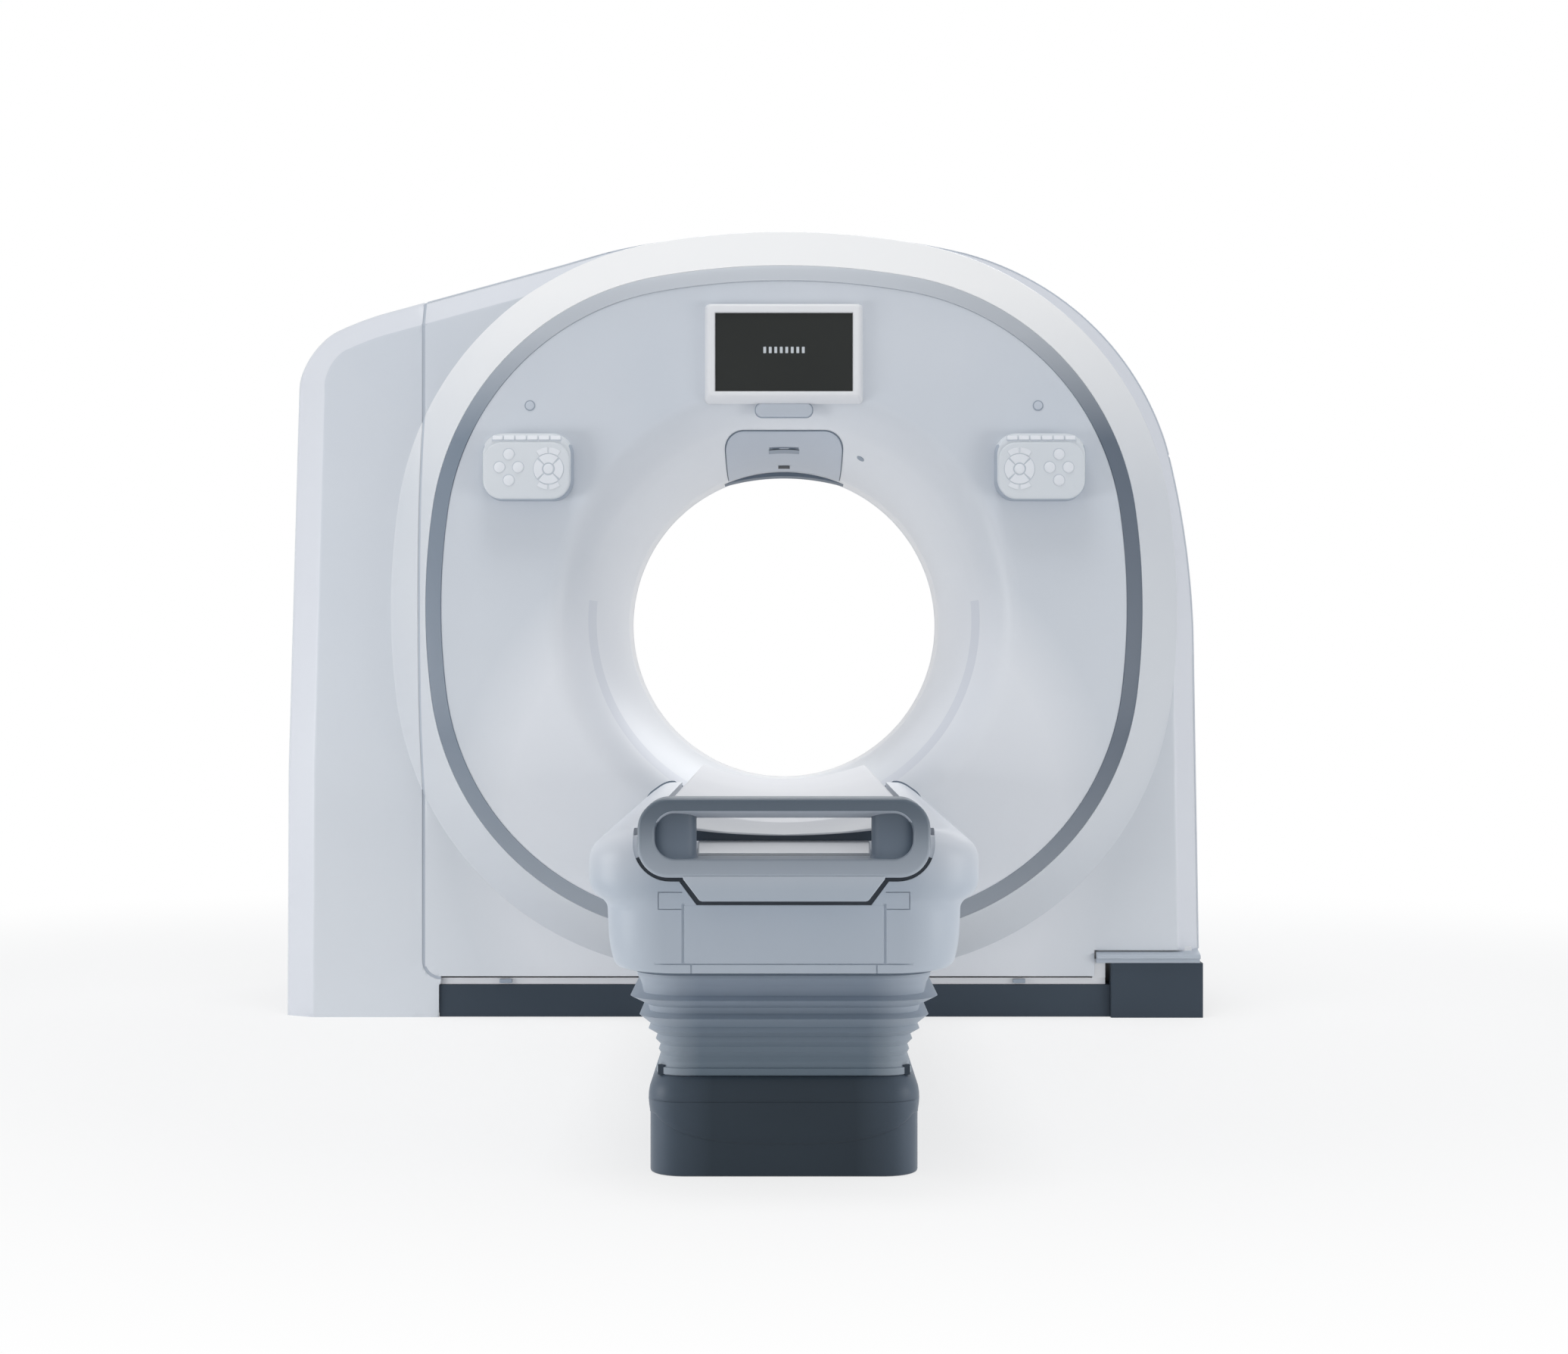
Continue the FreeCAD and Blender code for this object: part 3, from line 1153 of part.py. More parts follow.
def make_handle():
    """A loop with a rounded rim, dished toward its opening, and two posts in the opening."""
    y = S.handle_front
    middle = (S.handle_top + S.handle_bottom) / 2
    hole_middle = (S.opening_top + S.opening_bottom) / 2

    def outer(inset):
        return rounded_rectangle(S.handle_half - inset, S.handle_top - middle - inset,
                                 S.handle_corner - inset, lambda u, v: xz(u, y, middle + v))

    def hole(depth):
        return rounded_rectangle(S.opening_half, S.opening_top - hole_middle, S.opening_corner,
                                 lambda u, v: xz(u, y + depth, hole_middle + v))

    loop = rounded_front(along_y(outer(0), y, S.handle_back), y, S.handle_edge)
    dish = Part.makeLoft([outer(S.handle_edge), hole(S.handle_dish)], True, True)
    loop = loop.cut(dish).cut(along_y(hole(0), y, S.handle_back))
    extras = []
    for side in (-1, 1):
        extras.append(Part.makeCylinder(S.post_radius,
                                        S.opening_top - S.opening_bottom + 2 * S.wall,
                                        Vector(side * S.post_x, S.post_y,
                                               S.opening_bottom - S.wall)))
        extras.append(box_between(sorted((side * S.lug_inner, side * S.lug_outer)),
                                  (S.post_y, S.cradle_front), (S.lug_bottom, S.lug_top)))
    node("handle_loop", formed("handle_loop", loop.multiFuse(extras).removeSplitter()))
    apron = padded("handle_apron", "XZ_Plane", [
        ("-apron_foot_half", "apron_bottom"), ("apron_foot_half", "apron_bottom"),
        ("apron_half", "handle_bottom"), ("-apron_half", "handle_bottom")],
        "handle_back - handle_front", "handle_front", "y")
    node("handle_apron", apron)


# ---- build and write -------------------------------------------------------------------------

body_solid = make_covers()
make_trim_ring()
make_bore_liner()
make_plinth()
make_foot_box()
make_frame()
make_stator()
make_rotor_drum()
make_carried()
make_detector()
make_slip_ring()
make_drive()
make_display(body_solid)
make_laser_cover()
make_small_trim()
make_panel("left", -1)
make_panel("right", 1)
make_table_base()
make_column()
make_bellows()
make_table_top()
make_cradle()
make_handle()
doc.recompute()

failed = [thing.Label for thing in doc.Objects
          if "Invalid" in thing.State or "Error" in thing.State]
failed += [thing.Label for thing in NODES
           if thing.Shape.isNull() or not thing.Shape.isValid() or not thing.Shape.Solids]
if failed:
    raise RuntimeError("not built: " + ", ".join(failed))

os.makedirs("parts", exist_ok=True)
for thing in NODES:
    thing.Shape.exportStep(f"parts/{thing.Label}.step")
print(len(NODES), "nodes")
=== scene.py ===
"""Looks of the CT scanner: moulded covers, control panels, bellows and table, around the frame.

X runs across the gantry, Y from the table's foot toward the rear, and Z up from the floor.
"""
import json
import math

import bmesh
import bpy
import numpy as np
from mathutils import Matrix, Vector


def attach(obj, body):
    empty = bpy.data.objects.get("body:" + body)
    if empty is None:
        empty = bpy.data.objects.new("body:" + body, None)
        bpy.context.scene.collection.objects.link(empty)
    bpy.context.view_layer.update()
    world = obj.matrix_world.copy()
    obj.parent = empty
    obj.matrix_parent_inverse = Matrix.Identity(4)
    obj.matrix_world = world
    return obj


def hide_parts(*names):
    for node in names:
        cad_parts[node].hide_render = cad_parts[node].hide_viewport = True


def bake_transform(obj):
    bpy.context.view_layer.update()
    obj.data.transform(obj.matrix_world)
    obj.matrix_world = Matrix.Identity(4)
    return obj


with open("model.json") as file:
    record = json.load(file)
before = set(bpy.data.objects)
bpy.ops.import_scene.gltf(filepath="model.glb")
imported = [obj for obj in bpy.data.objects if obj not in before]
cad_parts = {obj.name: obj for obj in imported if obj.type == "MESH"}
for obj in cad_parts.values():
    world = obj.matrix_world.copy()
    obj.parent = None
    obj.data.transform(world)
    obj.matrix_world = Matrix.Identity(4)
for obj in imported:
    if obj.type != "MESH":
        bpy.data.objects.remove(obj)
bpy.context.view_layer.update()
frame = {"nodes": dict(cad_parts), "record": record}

PI = math.pi

# ---- driving places of the gantry, in metres, in the frame's own axes -------------------------

BORE_Z, BORE_R = 0.956, 0.400
THROAT_FRONT, THROAT_REAR = 0.120, 0.276       # the liner's ends, where the flares start
FLARE_R, REAR_FLARE_R = 0.560, 0.520
FACE_Y, GANTRY_REAR = -0.492, 0.500
REAR_EDGE = 0.040                              # bevel round the rear

OVAL_Z = 0.985
RING_Y, RING_WIDTH, RING_FALL = -0.500, 0.040, 0.014
SWELL = 0.085                                  # how far inside the ring the face rises to it
OVAL_BEVEL, OVAL_BACK = 0.097, -0.380
BEVEL_FROM = 0.74                              # no bevel lies nearer to the oval's centre
EDGE_BACK = -0.340                             # where the stand's own bevel ends
RAYS = 720                                     # rays of the skin about the oval's centre

SEAM_X, REAR_SEAM, SIDE_SPLIT = -0.869, 0.300, 1.357
SEAM_CORNER, FRONT_BOTTOM = 0.042, 0.095
SEAM_GAP, SEAM_DEPTH = 0.0036, 0.0018
NOTCH_X, LID_TOP = 0.752, 0.158                # the front cover's cut for the foot box
PLINTH_LEFT, PLINTH_RIGHT = -0.832, 0.787
RIGHT_SIDE = 0.5                               # past this X, covers belong to the right side
COVER_WALL = 0.005
FLOOR_GAP = 0.0001

VENT_INNER, VENT_OUTER = 0.480, 0.760
VENT_LOW, VENT_PITCH, VENT_HEIGHT, VENT_COUNT = 0.330, 0.034, 0.014, 6
PLUG_X, PLUG_Z = 0.602, 1.463


# ---- materials -------------------------------------------------------------------------------

def srgb(rgb):
    """A colour given as it looks, 0 to 255, turned into the renderer's linear values."""
    shares = [value / 255 for value in rgb]
    return (*(s / 12.92 if s <= 0.04045 else ((s + 0.055) / 1.055) ** 2.4 for s in shares), 1.0)


def node(tree, kind, inputs=(), **settings):
    """A new shader node with its settings and the values of some of its inputs."""
    made = tree.nodes.new("ShaderNode" + kind)
    for key, value in settings.items():
        setattr(made, key, value)
    for socket, value in dict(inputs).items():
        made.inputs[socket].default_value = value
    return made


def wire(tree, *pairs):
    """Links each output to its input."""
    for source, target in pairs:
        tree.links.new(source, target)


def ramp(tree, stops):
    """A colour ramp with a colour at each of its stops."""
    made = node(tree, "ValToRGB")
    elements = made.color_ramp.elements
    while len(elements) < len(stops):
        elements.new(0.5)
    for element, (place, colour) in zip(elements, stops):
        element.position = place
        element.color = colour
    return made


def plastic(name, light, dark, rough=0.42, coat=0.0, grain=900.0, bump=0.02, metal=0.0,
            shine=0.4):
    """Moulded or painted surface: a slow drift between two shades over a fine grain."""
    mat = bpy.data.materials.new(name)
    mat.use_nodes = True
    tree = mat.node_tree
    shader = tree.nodes["Principled BSDF"]
    for socket, value in (("Roughness", rough), ("Metallic", metal), ("Coat Weight", coat),
                          ("Specular IOR Level", shine), ("Coat Roughness", 0.12)):
        shader.inputs[socket].default_value = value
    place = node(tree, "TexCoord").outputs["Object"]
    drift = node(tree, "TexNoise", {"Scale": 2.0, "Detail": 2.0})
    shade = ramp(tree, ((0.35, srgb(dark)), (0.65, srgb(light))))
    fine = node(tree, "TexNoise", {"Scale": grain, "Detail": 3.0})
    relief = node(tree, "Bump", {"Strength": bump, "Distance": 0.001})
    wire(tree, (place, drift.inputs["Vector"]), (place, fine.inputs["Vector"]),
         (drift.outputs["Fac"], shade.inputs["Fac"]),
         (shade.outputs["Color"], shader.inputs["Base Color"]),
         (fine.outputs["Fac"], relief.inputs["Height"]),
         (relief.outputs["Normal"], shader.inputs["Normal"]))
    return mat


def graded(mat, low, high, stops, colour, axis="Z", centre=BORE_Z):
    """Blends a plastic's own shade toward a second one between low and high on an axis.

    The axis "round" is the distance from the line along Y at the height centre. The stops
    give the second shade's share along the way.
    """
    tree = mat.node_tree
    shader = tree.nodes["Principled BSDF"]
    own = shader.inputs["Base Color"].links[0].from_socket
    place = node(tree, "TexCoord").outputs["Object"]
    if axis == "round":
        flat = node(tree, "VectorMath", operation="MULTIPLY_ADD",
                    inputs={1: (1, 0, 1), 2: (0, 0, -centre)})
        away = node(tree, "VectorMath", operation="LENGTH")
        wire(tree, (place, flat.inputs[0]), (flat.outputs[0], away.inputs[0]))
        value = away.outputs["Value"]
    else:
        axes = node(tree, "SeparateXYZ")
        wire(tree, (place, axes.inputs[0]))
        value = axes.outputs[axis]
    span = node(tree, "MapRange", {"From Min": low, "From Max": high})
    share = ramp(tree, [(along, (s, s, s, 1)) for along, s in stops])
    paint = node(tree, "Mix", {7: srgb(colour)}, data_type="RGBA")
    wire(tree, (value, span.inputs["Value"]), (span.outputs["Result"], share.inputs["Fac"]),
         (share.outputs["Color"], paint.inputs[0]), (own, paint.inputs[6]),
         (paint.outputs[2], shader.inputs["Base Color"]))
    return mat


FADE_OUT = ((0.0, 1.0), (1.0, 0.0))
FADE_IN = ((0.0, 0.0), (1.0, 1.0))

# Cover paint with painted light: lighter near the bore (painted highlight on the flare), lighter
# toward the floor, and lighter in a band round a line below the bore (painted highlight on the
# lower flare beside the table).
COVER = graded(plastic("cover_paint", (212, 217, 224), (207, 213, 221), rough=0.38),
               0.470, 0.565, FADE_OUT, (240, 242, 245), "round")
COVER = graded(COVER, 0.300, 1.500, FADE_OUT, (222, 226, 231))
COVER = graded(COVER, 0.20, 0.80, ((0.0, 0.0), (0.20, 0.4), (0.35, 0.8), (0.77, 0.8), (1.0, 0.0)),
               (238, 240, 244), "round", 0.450)
# Lighter paint for the stand's upward-facing bevel: a painted highlight.
EDGE = plastic("edge_highlight", (226, 229, 235), (222, 225, 232), rough=0.38)
WHITE = plastic("white_gloss", (236, 237, 239), (232, 233, 236), rough=0.34, coat=0.1)
# Ring paint with painted light: darker toward the right side (painted shade) and lighter toward
# the top, a little toward the bottom too (painted highlight).
RING = graded(plastic("ring_paint", (125, 137, 151), (118, 130, 145), rough=0.4),
              0.0, 0.8, ((0.3, 0.0), (1.0, 1.0)), (96, 107, 121), "X")
RING = graded(RING, 0.190, 1.797, ((0.0, 0.36), (0.30, 0.0), (0.74, 0.0), (0.90, 0.50),
                                   (1.0, 0.6)), (226, 229, 233))
# The oval bevel's band: lighter than the cover and lighter still toward the top, a painted
# highlight; its gloss is real.
BAND = graded(plastic("band_gloss_and_highlight", (219, 223, 228), (215, 219, 225), rough=0.34, coat=0.1),
              1.250, 1.750, FADE_IN, (248, 248, 248))
# Table body lighter toward its top edge: painted light.
TABLE = graded(plastic("table_plastic", (199, 208, 219), (194, 204, 215), rough=0.4),
               0.480, 0.560, FADE_IN, (216, 220, 227))
PANEL = plastic("panel_plastic", (223, 227, 231), (218, 223, 228), rough=0.36)
# Darker grey for the panel housings' side walls: painted shade.
WALL = plastic("panel_wall_shade", (178, 187, 198), (172, 181, 193), rough=0.5)
KEYPAD = plastic("key_rubber", (236, 239, 243), (231, 234, 239), rough=0.4)
LASER = plastic("laser_plastic", (201, 208, 217), (196, 203, 213), rough=0.45)
TRIM = plastic("trim_plastic", (160, 170, 182), (153, 163, 176), rough=0.5)
DARK = plastic("base_plastic", (66, 76, 87), (59, 69, 80), rough=0.5, shine=0.2)
# Base darker in the middle and lighter toward both sides: painted highlight on its rounded sides.
BASE = graded(plastic("pedestal_plastic", (52, 64, 75), (45, 56, 66), rough=0.42,
                      shine=0.25), -0.225, 0.225,
              ((0.0, 0.9), (0.10, 0.35), (0.24, 0.0), (0.76, 0.0), (0.90, 0.35), (1.0, 0.9)),
              (104, 117, 132), "X")
LID = plastic("lid_plastic", (190, 198, 208), (183, 192, 202), rough=0.45)
# Handle darker toward its top and lighter at its bottom: painted shade on the top band and painted
# floor reflection on the lower band.
HANDLE = graded(plastic("handle_plastic", (190, 199, 209), (184, 193, 204), rough=0.38),
                0.500, 0.627, ((0.0, 0.0), (0.28, 0.25), (0.75, 0.9), (1.0, 1.0)),
                (93, 106, 119))
# Posts darker toward the top: painted shade under the loop's top band.
POST = graded(plastic("post_plastic", (128, 141, 155), (121, 134, 149), rough=0.45),
              0.530, 0.605, FADE_IN, (92, 104, 117))
# Cradle lighter toward its foot end: painted light on the end that the handle shades.
CRADLE = graded(plastic("cradle_skin", (210, 212, 217), (205, 207, 213), rough=0.4),
                -2.500, -2.425, FADE_OUT, (248, 249, 250), "Y")
# Darker grey on the seam strips: painted shade in the gaps between covers.
SEAM = plastic("seam_gap_shade", (190, 197, 207), (184, 191, 202), rough=0.6)
# Slightly darker grey under the panel keys and buttons: painted shade.
WELL = plastic("well_shade_grey", (204, 210, 217), (199, 205, 213), rough=0.6)
# Dark grey, used mostly as painted shade in gaps and under parts.
GAP = plastic("gap_grey", (116, 128, 142), (110, 122, 136), rough=0.6)
SHADOW = plastic("gap_shadow", (60, 66, 74), (52, 58, 66), rough=0.7)
# Bellows with painted light: its own grey raised to make up for the shade under the table, darker
# toward the bottom (painted shade) and lighter at the corners (painted highlight).
BELLOWS = graded(plastic("bellows_skin", (158, 170, 185), (147, 160, 175), rough=0.6,
                         grain=1400.0, bump=0.08),
                 0.164, 0.300, ((0.0, 1.0), (0.25, 0.75), (1.0, 0.0)), (104, 119, 131))
BELLOWS = graded(BELLOWS, -0.262, 0.262, ((0.0, 0.8), (0.16, 0.35), (0.24, 0.0), (0.76, 0.0),
                                          (0.84, 0.35), (1.0, 0.8)), (200, 208, 217), "X")
GLASS = plastic("screen_glass", (46, 48, 47), (43, 45, 44), rough=0.35, shine=0.15)
STEEL = plastic("frame_steel", (120, 125, 131), (110, 115, 122), rough=0.5)
BEARING = plastic("bearing_steel", (190, 192, 195), (175, 177, 181), rough=0.3,
                  metal=1.0)
ALLOY = plastic("rotor_alloy", (200, 202, 205), (188, 190, 194), rough=0.38, metal=0.9)
UNIT = plastic("unit_paint", (165, 169, 174), (152, 157, 162), rough=0.45)
BELT = plastic("belt_rubber", (40, 41, 43), (32, 33, 35), rough=0.7, bump=0.1)
MARK = plastic("screen_figures", (205, 210, 214), (198, 203, 208), rough=0.5)
BY_SLOT = {
    "cover_white": COVER, "trim_grey": RING, "panel_white": PANEL, "keypad_grey": KEYPAD,
    "laser_grey": LASER, "base_dark": DARK, "lid_grey": LID, "handle_grey": HANDLE,
    "apron_grey": COVER, "cradle_white": WHITE, "bellows_fabric": BELLOWS,
    "screen_glass": GLASS, "frame_steel": STEEL, "bearing_steel": BEARING,
    "rotor_alloy": ALLOY, "unit_metal": UNIT, "belt_rubber": BELT,
}


def dress_frame():
    """Every CAD node that stays gets its slot's material."""
    for part in frame["record"]["subparts"]:
        thing = frame["nodes"][part["node"]]
        thing.data.materials.clear()
        thing.data.materials.append(BY_SLOT[part["material_slot"]])


# ---- mesh helpers ----------------------------------------------------------------------------

def mesh_of(name, verts, faces):
    """A mesh from vertices and faces."""
    mesh = bpy.data.meshes.new(name)
    mesh.from_pydata([tuple(map(float, v)) for v in verts], [], faces)
    return mesh


def linked(name, data):
    """A new object of the scene that shows this data."""
    thing = bpy.data.objects.new(name, data)
    bpy.context.scene.collection.objects.link(thing)
    return thing


def shaded(name, mesh, material, sharp):
    """The mesh as an object, smooth except at edges sharper than an angle in degrees."""
    mesh.validate()
    mesh.shade_smooth()
    mesh.set_sharp_from_angle(angle=math.radians(sharp))
    mesh.materials.append(material)
    return linked(name, mesh)


def piece(name, verts, faces, material, body, slot, sharp=38.0, replaces=()):
    """A piece from vertices and faces, riding on a body."""
    return finish_piece(name, mesh_of(name, verts, faces), material, body, slot, sharp, replaces)


def finish_piece(name, mesh, material, body, slot, sharp=38.0, replaces=(), wall=0.0):
    """A piece from a mesh, riding on a body; a wall thickens it inward."""
    thing = shaded(name, mesh, material, sharp)
    if wall:
        thicken = thing.modifiers.new("wall", "SOLIDIFY")
        thicken.thickness = wall
        thicken.offset = -1
    even = thing.modifiers.new("even_shading", "WEIGHTED_NORMAL")
    even.keep_sharp = True
    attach(thing, body)
    if replaces:
        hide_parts(*replaces)
    return thing


def rounded_rectangle(half_w, half_h, radius, steps=10):
    """Outline points of a round-cornered rectangle about (0, 0), anticlockwise."""
    points = []
    for corner, (sx, sy) in enumerate(((1, 1), (-1, 1), (-1, -1), (1, -1))):
        for step in range(steps + 1):
            angle = PI / 2 * (corner + step / steps)
            points.append((sx * (half_w - radius) + radius * math.cos(angle),
                           sy * (half_h - radius) + radius * math.sin(angle)))
    return np.array(points)


def loft(rings, closed=False, caps=(True, True)):
    """Vertices and faces of a skin over rings with the same number of points."""
    count = len(rings[0])
    verts = np.concatenate(rings)
    faces = []
    spans = len(rings) if closed else len(rings) - 1
    for row in range(spans):
        a, b = row * count, (row + 1) % len(rings) * count
        for i in range(count):
            j = (i + 1) % count
            faces.append((a + i, a + j, b + j, b + i))
    if not closed and caps[0]:
        faces.append(tuple(range(count - 1, -1, -1)))
    if not closed and caps[1]:
        last = (len(rings) - 1) * count
        faces.append(tuple(range(last, last + count)))
    return verts, faces


def grid(rows, count):
    """Faces of a sheet: rows of faces between rows of points, with count points in each."""
    return [(r * count + i, r * count + i + 1, (r + 1) * count + i + 1, (r + 1) * count + i)
            for r in range(rows) for i in range(count - 1)]


def joined(parts):
    """Several (vertices, faces) put in one list."""
    verts, faces, start = [], [], 0
    for v, f in parts:
        verts.append(np.asarray(v))
        faces += [tuple(i + start for i in face) for face in f]
        start += len(v)
    return np.concatenate(verts), faces


def in_plane(points, y, x0=0.0, z0=0.0):
    """Outline points (u, v) placed in the XZ plane at y."""
    return np.array([(x0 + u, y, z0 + v) for u, v in points])


def at_height(points, z, x0=0.0, y0=0.0):
    """Outline points (u, v) placed in the XY plane at z."""
    return np.array([(x0 + u, y0 + v, z) for u, v in points])


def hoop(radius, y, x0=0.0, z0=BORE_Z, count=48):
    """Points on a circle in the XZ plane at y."""
    turn = np.linspace(0, 2 * PI, count, endpoint=False)
    return np.stack([x0 + radius * np.cos(turn), np.full_like(turn, y),
                     z0 + radius * np.sin(turn)], 1)


def slabs(specs, x0, z0, steps=10):
    """Round-cornered outlines about a point, from half width, half height, corner and depth."""
    return [in_plane(rounded_rectangle(wide, tall, corner, steps), y, x0, z0)
            for wide, tall, corner, y in specs]


def pillow(half_w, half_h, radius, back, front, edge, x0, z0, steps, rounds):
    """Rings of a plate from its back face to its front face, with a rounded front edge."""
    specs = [(half_w, half_h, radius, back)]
    for turn in np.linspace(0, PI / 2, rounds + 1):
        inset = edge * (1 - math.cos(turn))
        specs.append((half_w - inset, half_h - inset, max(radius - inset, 0.0005),
                      front + edge * (1 - math.sin(turn))))
    return slabs(specs, x0, z0, steps)


# ---- gantry skin -----------------------------------------------------------------------------

def arc_points(start, middle, end, count):
    """Points on the circle arc through three points of the XZ plane, taken as complex numbers."""
    a, b, c = (complex(*place) for place in (start, middle, end))
    ratio = (c - a) / (b - a)
    hub = a + (b - a) * (ratio - abs(ratio) ** 2) / (2j * ratio.imag)
    sweep = np.angle((c - hub) / (a - hub))
    points = hub + (a - hub) * np.exp(1j * np.linspace(0, sweep, count))
    return list(zip(points.real, points.imag))


# Half width, reach up and down, and the radii of the top, side and corner arcs.
OVAL = {"half": 0.851, "up": 0.812, "down": 0.795, "top": 1.733, "side": 1.655, "corner": 0.652}


def oval_points():
    """The face oval: top, corner and side arcs, mirrored left to right."""
    def arc(hub, radius, start, stop, count):
        return [hub + radius * np.array([math.cos(t), math.sin(t)])
                for t in np.linspace(start, stop, count)]

    side = np.array([OVAL["half"] - OVAL["side"], 0.0])
    halves = []
    for up, reach in ((1, OVAL["up"]), (-1, OVAL["down"])):
        top = np.array([0.0, reach - OVAL["top"]])
        near, far = OVAL["top"] - OVAL["corner"], OVAL["side"] - OVAL["corner"]
        gap = np.linalg.norm(side - top)
        unit = (side - top) / gap
        share = (near**2 - far**2 + gap**2) / (2 * gap)
        rise = math.sqrt(near**2 - share**2)
        normal = np.array([-unit[1], unit[0]])
        centre = max((top + unit * share + s * rise * normal for s in (1, -1)),
                     key=lambda c: c[0] + c[1])
        t1, t2 = (math.atan2(centre[1] - hub[1], centre[0] - hub[0]) for hub in (top, side))
        quarter = (arc(top, OVAL["top"], PI / 2, t1, 60)
                   + arc(centre, OVAL["corner"], t1, t2, 120)[1:]
                   + arc(side, OVAL["side"], t2, 0, 60)[1:])
        halves.append([(x, up * z) for x, z in quarter])
    right = halves[0] + halves[1][::-1][1:]
    return np.array(right + [(-x, z) for x, z in right[::-1][1:-1]])


def unit_rows(vectors):
    """Vectors brought to a length of 1."""
    return vectors / np.linalg.norm(vectors, axis=1)[:, None]


def grown(points, distance):
    """A closed smooth outline moved outward by a distance."""
    tangent = unit_rows(np.roll(points, -1, 0) - np.roll(points, 1, 0))
    normal = np.stack([-tangent[:, 1], tangent[:, 0]], 1)
    outward = np.sign(np.sum(normal * points, axis=1))[:, None]
    return points + normal * outward * distance


# Corners of the gantry's outline, each with a point on the arc to the next one, or None.
STAND = [((-1.206, 0.0), None), ((-1.2035, 0.600), None), ((-1.177, 1.535), (-1.150, 1.597)),
         ((-1.094, 1.655), (-1.042, 1.678)), ((-0.984, 1.699), None),
         ((-0.418, 1.854), (0.0, 1.899)), ((0.418, 1.854), (0.780, 1.645)),
         ((0.931, 1.380), (0.975, 1.160)), ((0.9955, 0.930), None), ((1.0108, 0.0), None)]
STAND_FLOOR = -0.150
LEFT_BEVEL = 0.070
OTHER_BEVEL = 0.058
LEFT_TURN = 1.50, 1.66   # heights between which one bevel's width passes into the other's
LEFT_END = -0.9          # past this X the outline is no longer the left wall


def stand_outline():
    """The gantry's outline seen from the front, in even steps, its corners eased."""
    run = []
    for (start, middle), (end, _) in zip(STAND, STAND[1:]):
        run.extend(list(arc_points(start, middle, end, 50))[:-1] if middle else [start])
    run = np.array([tuple(p) for p in run] + [STAND[-1][0]])
    along = np.concatenate([[0], np.cumsum(np.linalg.norm(np.diff(run, axis=0), axis=1))])
    even = np.linspace(0, along[-1], 1200)
    points = np.stack([np.interp(even, along, run[:, k]) for k in (0, 1)], 1)
    half = 4
    wide = np.concatenate([2 * points[0] - points[half:0:-1], points,
                           2 * points[-1] - points[-2:-half - 2:-1]])
    return sum(wide[k:k + len(points)] for k in range(2 * half + 1)) / (2 * half + 1)


def stand_points(left, other):
    """The outline inset on its left wall and on its other edges, carried below the floor."""
    outline = stand_outline()
    tangent = unit_rows(np.gradient(outline, axis=0))
    normal = np.stack([-tangent[:, 1], tangent[:, 0]], 1)
    share = np.clip((outline[:, 1] - LEFT_TURN[0]) / (LEFT_TURN[1] - LEFT_TURN[0]), 0, 1)
    share[outline[:, 0] > LEFT_END] = 1.0
    share = share**2 * (3 - 2 * share)
    moved = outline - normal * (left + (other - left) * share)[:, None]
    ends = [end + (near - end) * ((STAND_FLOOR - end[1]) / (near[1] - end[1]))
            for end, near in ((moved[0], moved[1]), (moved[-1], moved[-2]))]
    return np.concatenate([ends[:1], moved[1:-1], ends[1:]])


def polar(points, angles):
    """How far a closed outline about the oval's centre lies along each angle."""
    closed = np.vstack([points, points[:1]])
    rays = np.stack([np.cos(angles), np.sin(angles)], 1)
    out = np.full(len(angles), np.nan)
    for a, b in zip(closed, closed[1:]):
        r = b - a
        cross = rays[:, 0] * r[1] - rays[:, 1] * r[0]
        with np.errstate(divide="ignore", invalid="ignore"):
            along = (a[0] * r[1] - a[1] * r[0]) / cross
            share = (a[0] * rays[:, 1] - a[1] * rays[:, 0]) / cross
        hit = (np.abs(cross) > 1e-12) & (share >= -1e-9) & (share <= 1 + 1e-9) & (along > 0)
        out = np.where(hit & (np.isnan(out) | (along > out)), along, out)
    return out


def rounded(profile, radii):
    """Each ray's polyline with its corners turned into arcs; the same count on every ray."""
    out = [profile[0]]
    for before, point, after, radius in zip(profile, profile[1:], profile[2:], radii):
        if radius == 0:
            out.append(point)
            continue
        u, v = before - point, after - point
        lu = np.linalg.norm(u, axis=1, keepdims=True)
        lv = np.linalg.norm(v, axis=1, keepdims=True)
        reach = np.minimum(radius, 0.45 * np.minimum(lu, lv))
        a = point + u / np.maximum(lu, 1e-9) * reach
        b = point + v / np.maximum(lv, 1e-9) * reach
        for t in (0, 0.25, 0.5, 0.75, 1):
            out.append((1 - t) ** 2 * a + 2 * t * (1 - t) * point + t**2 * b)
    out.append(profile[-1])
    return out


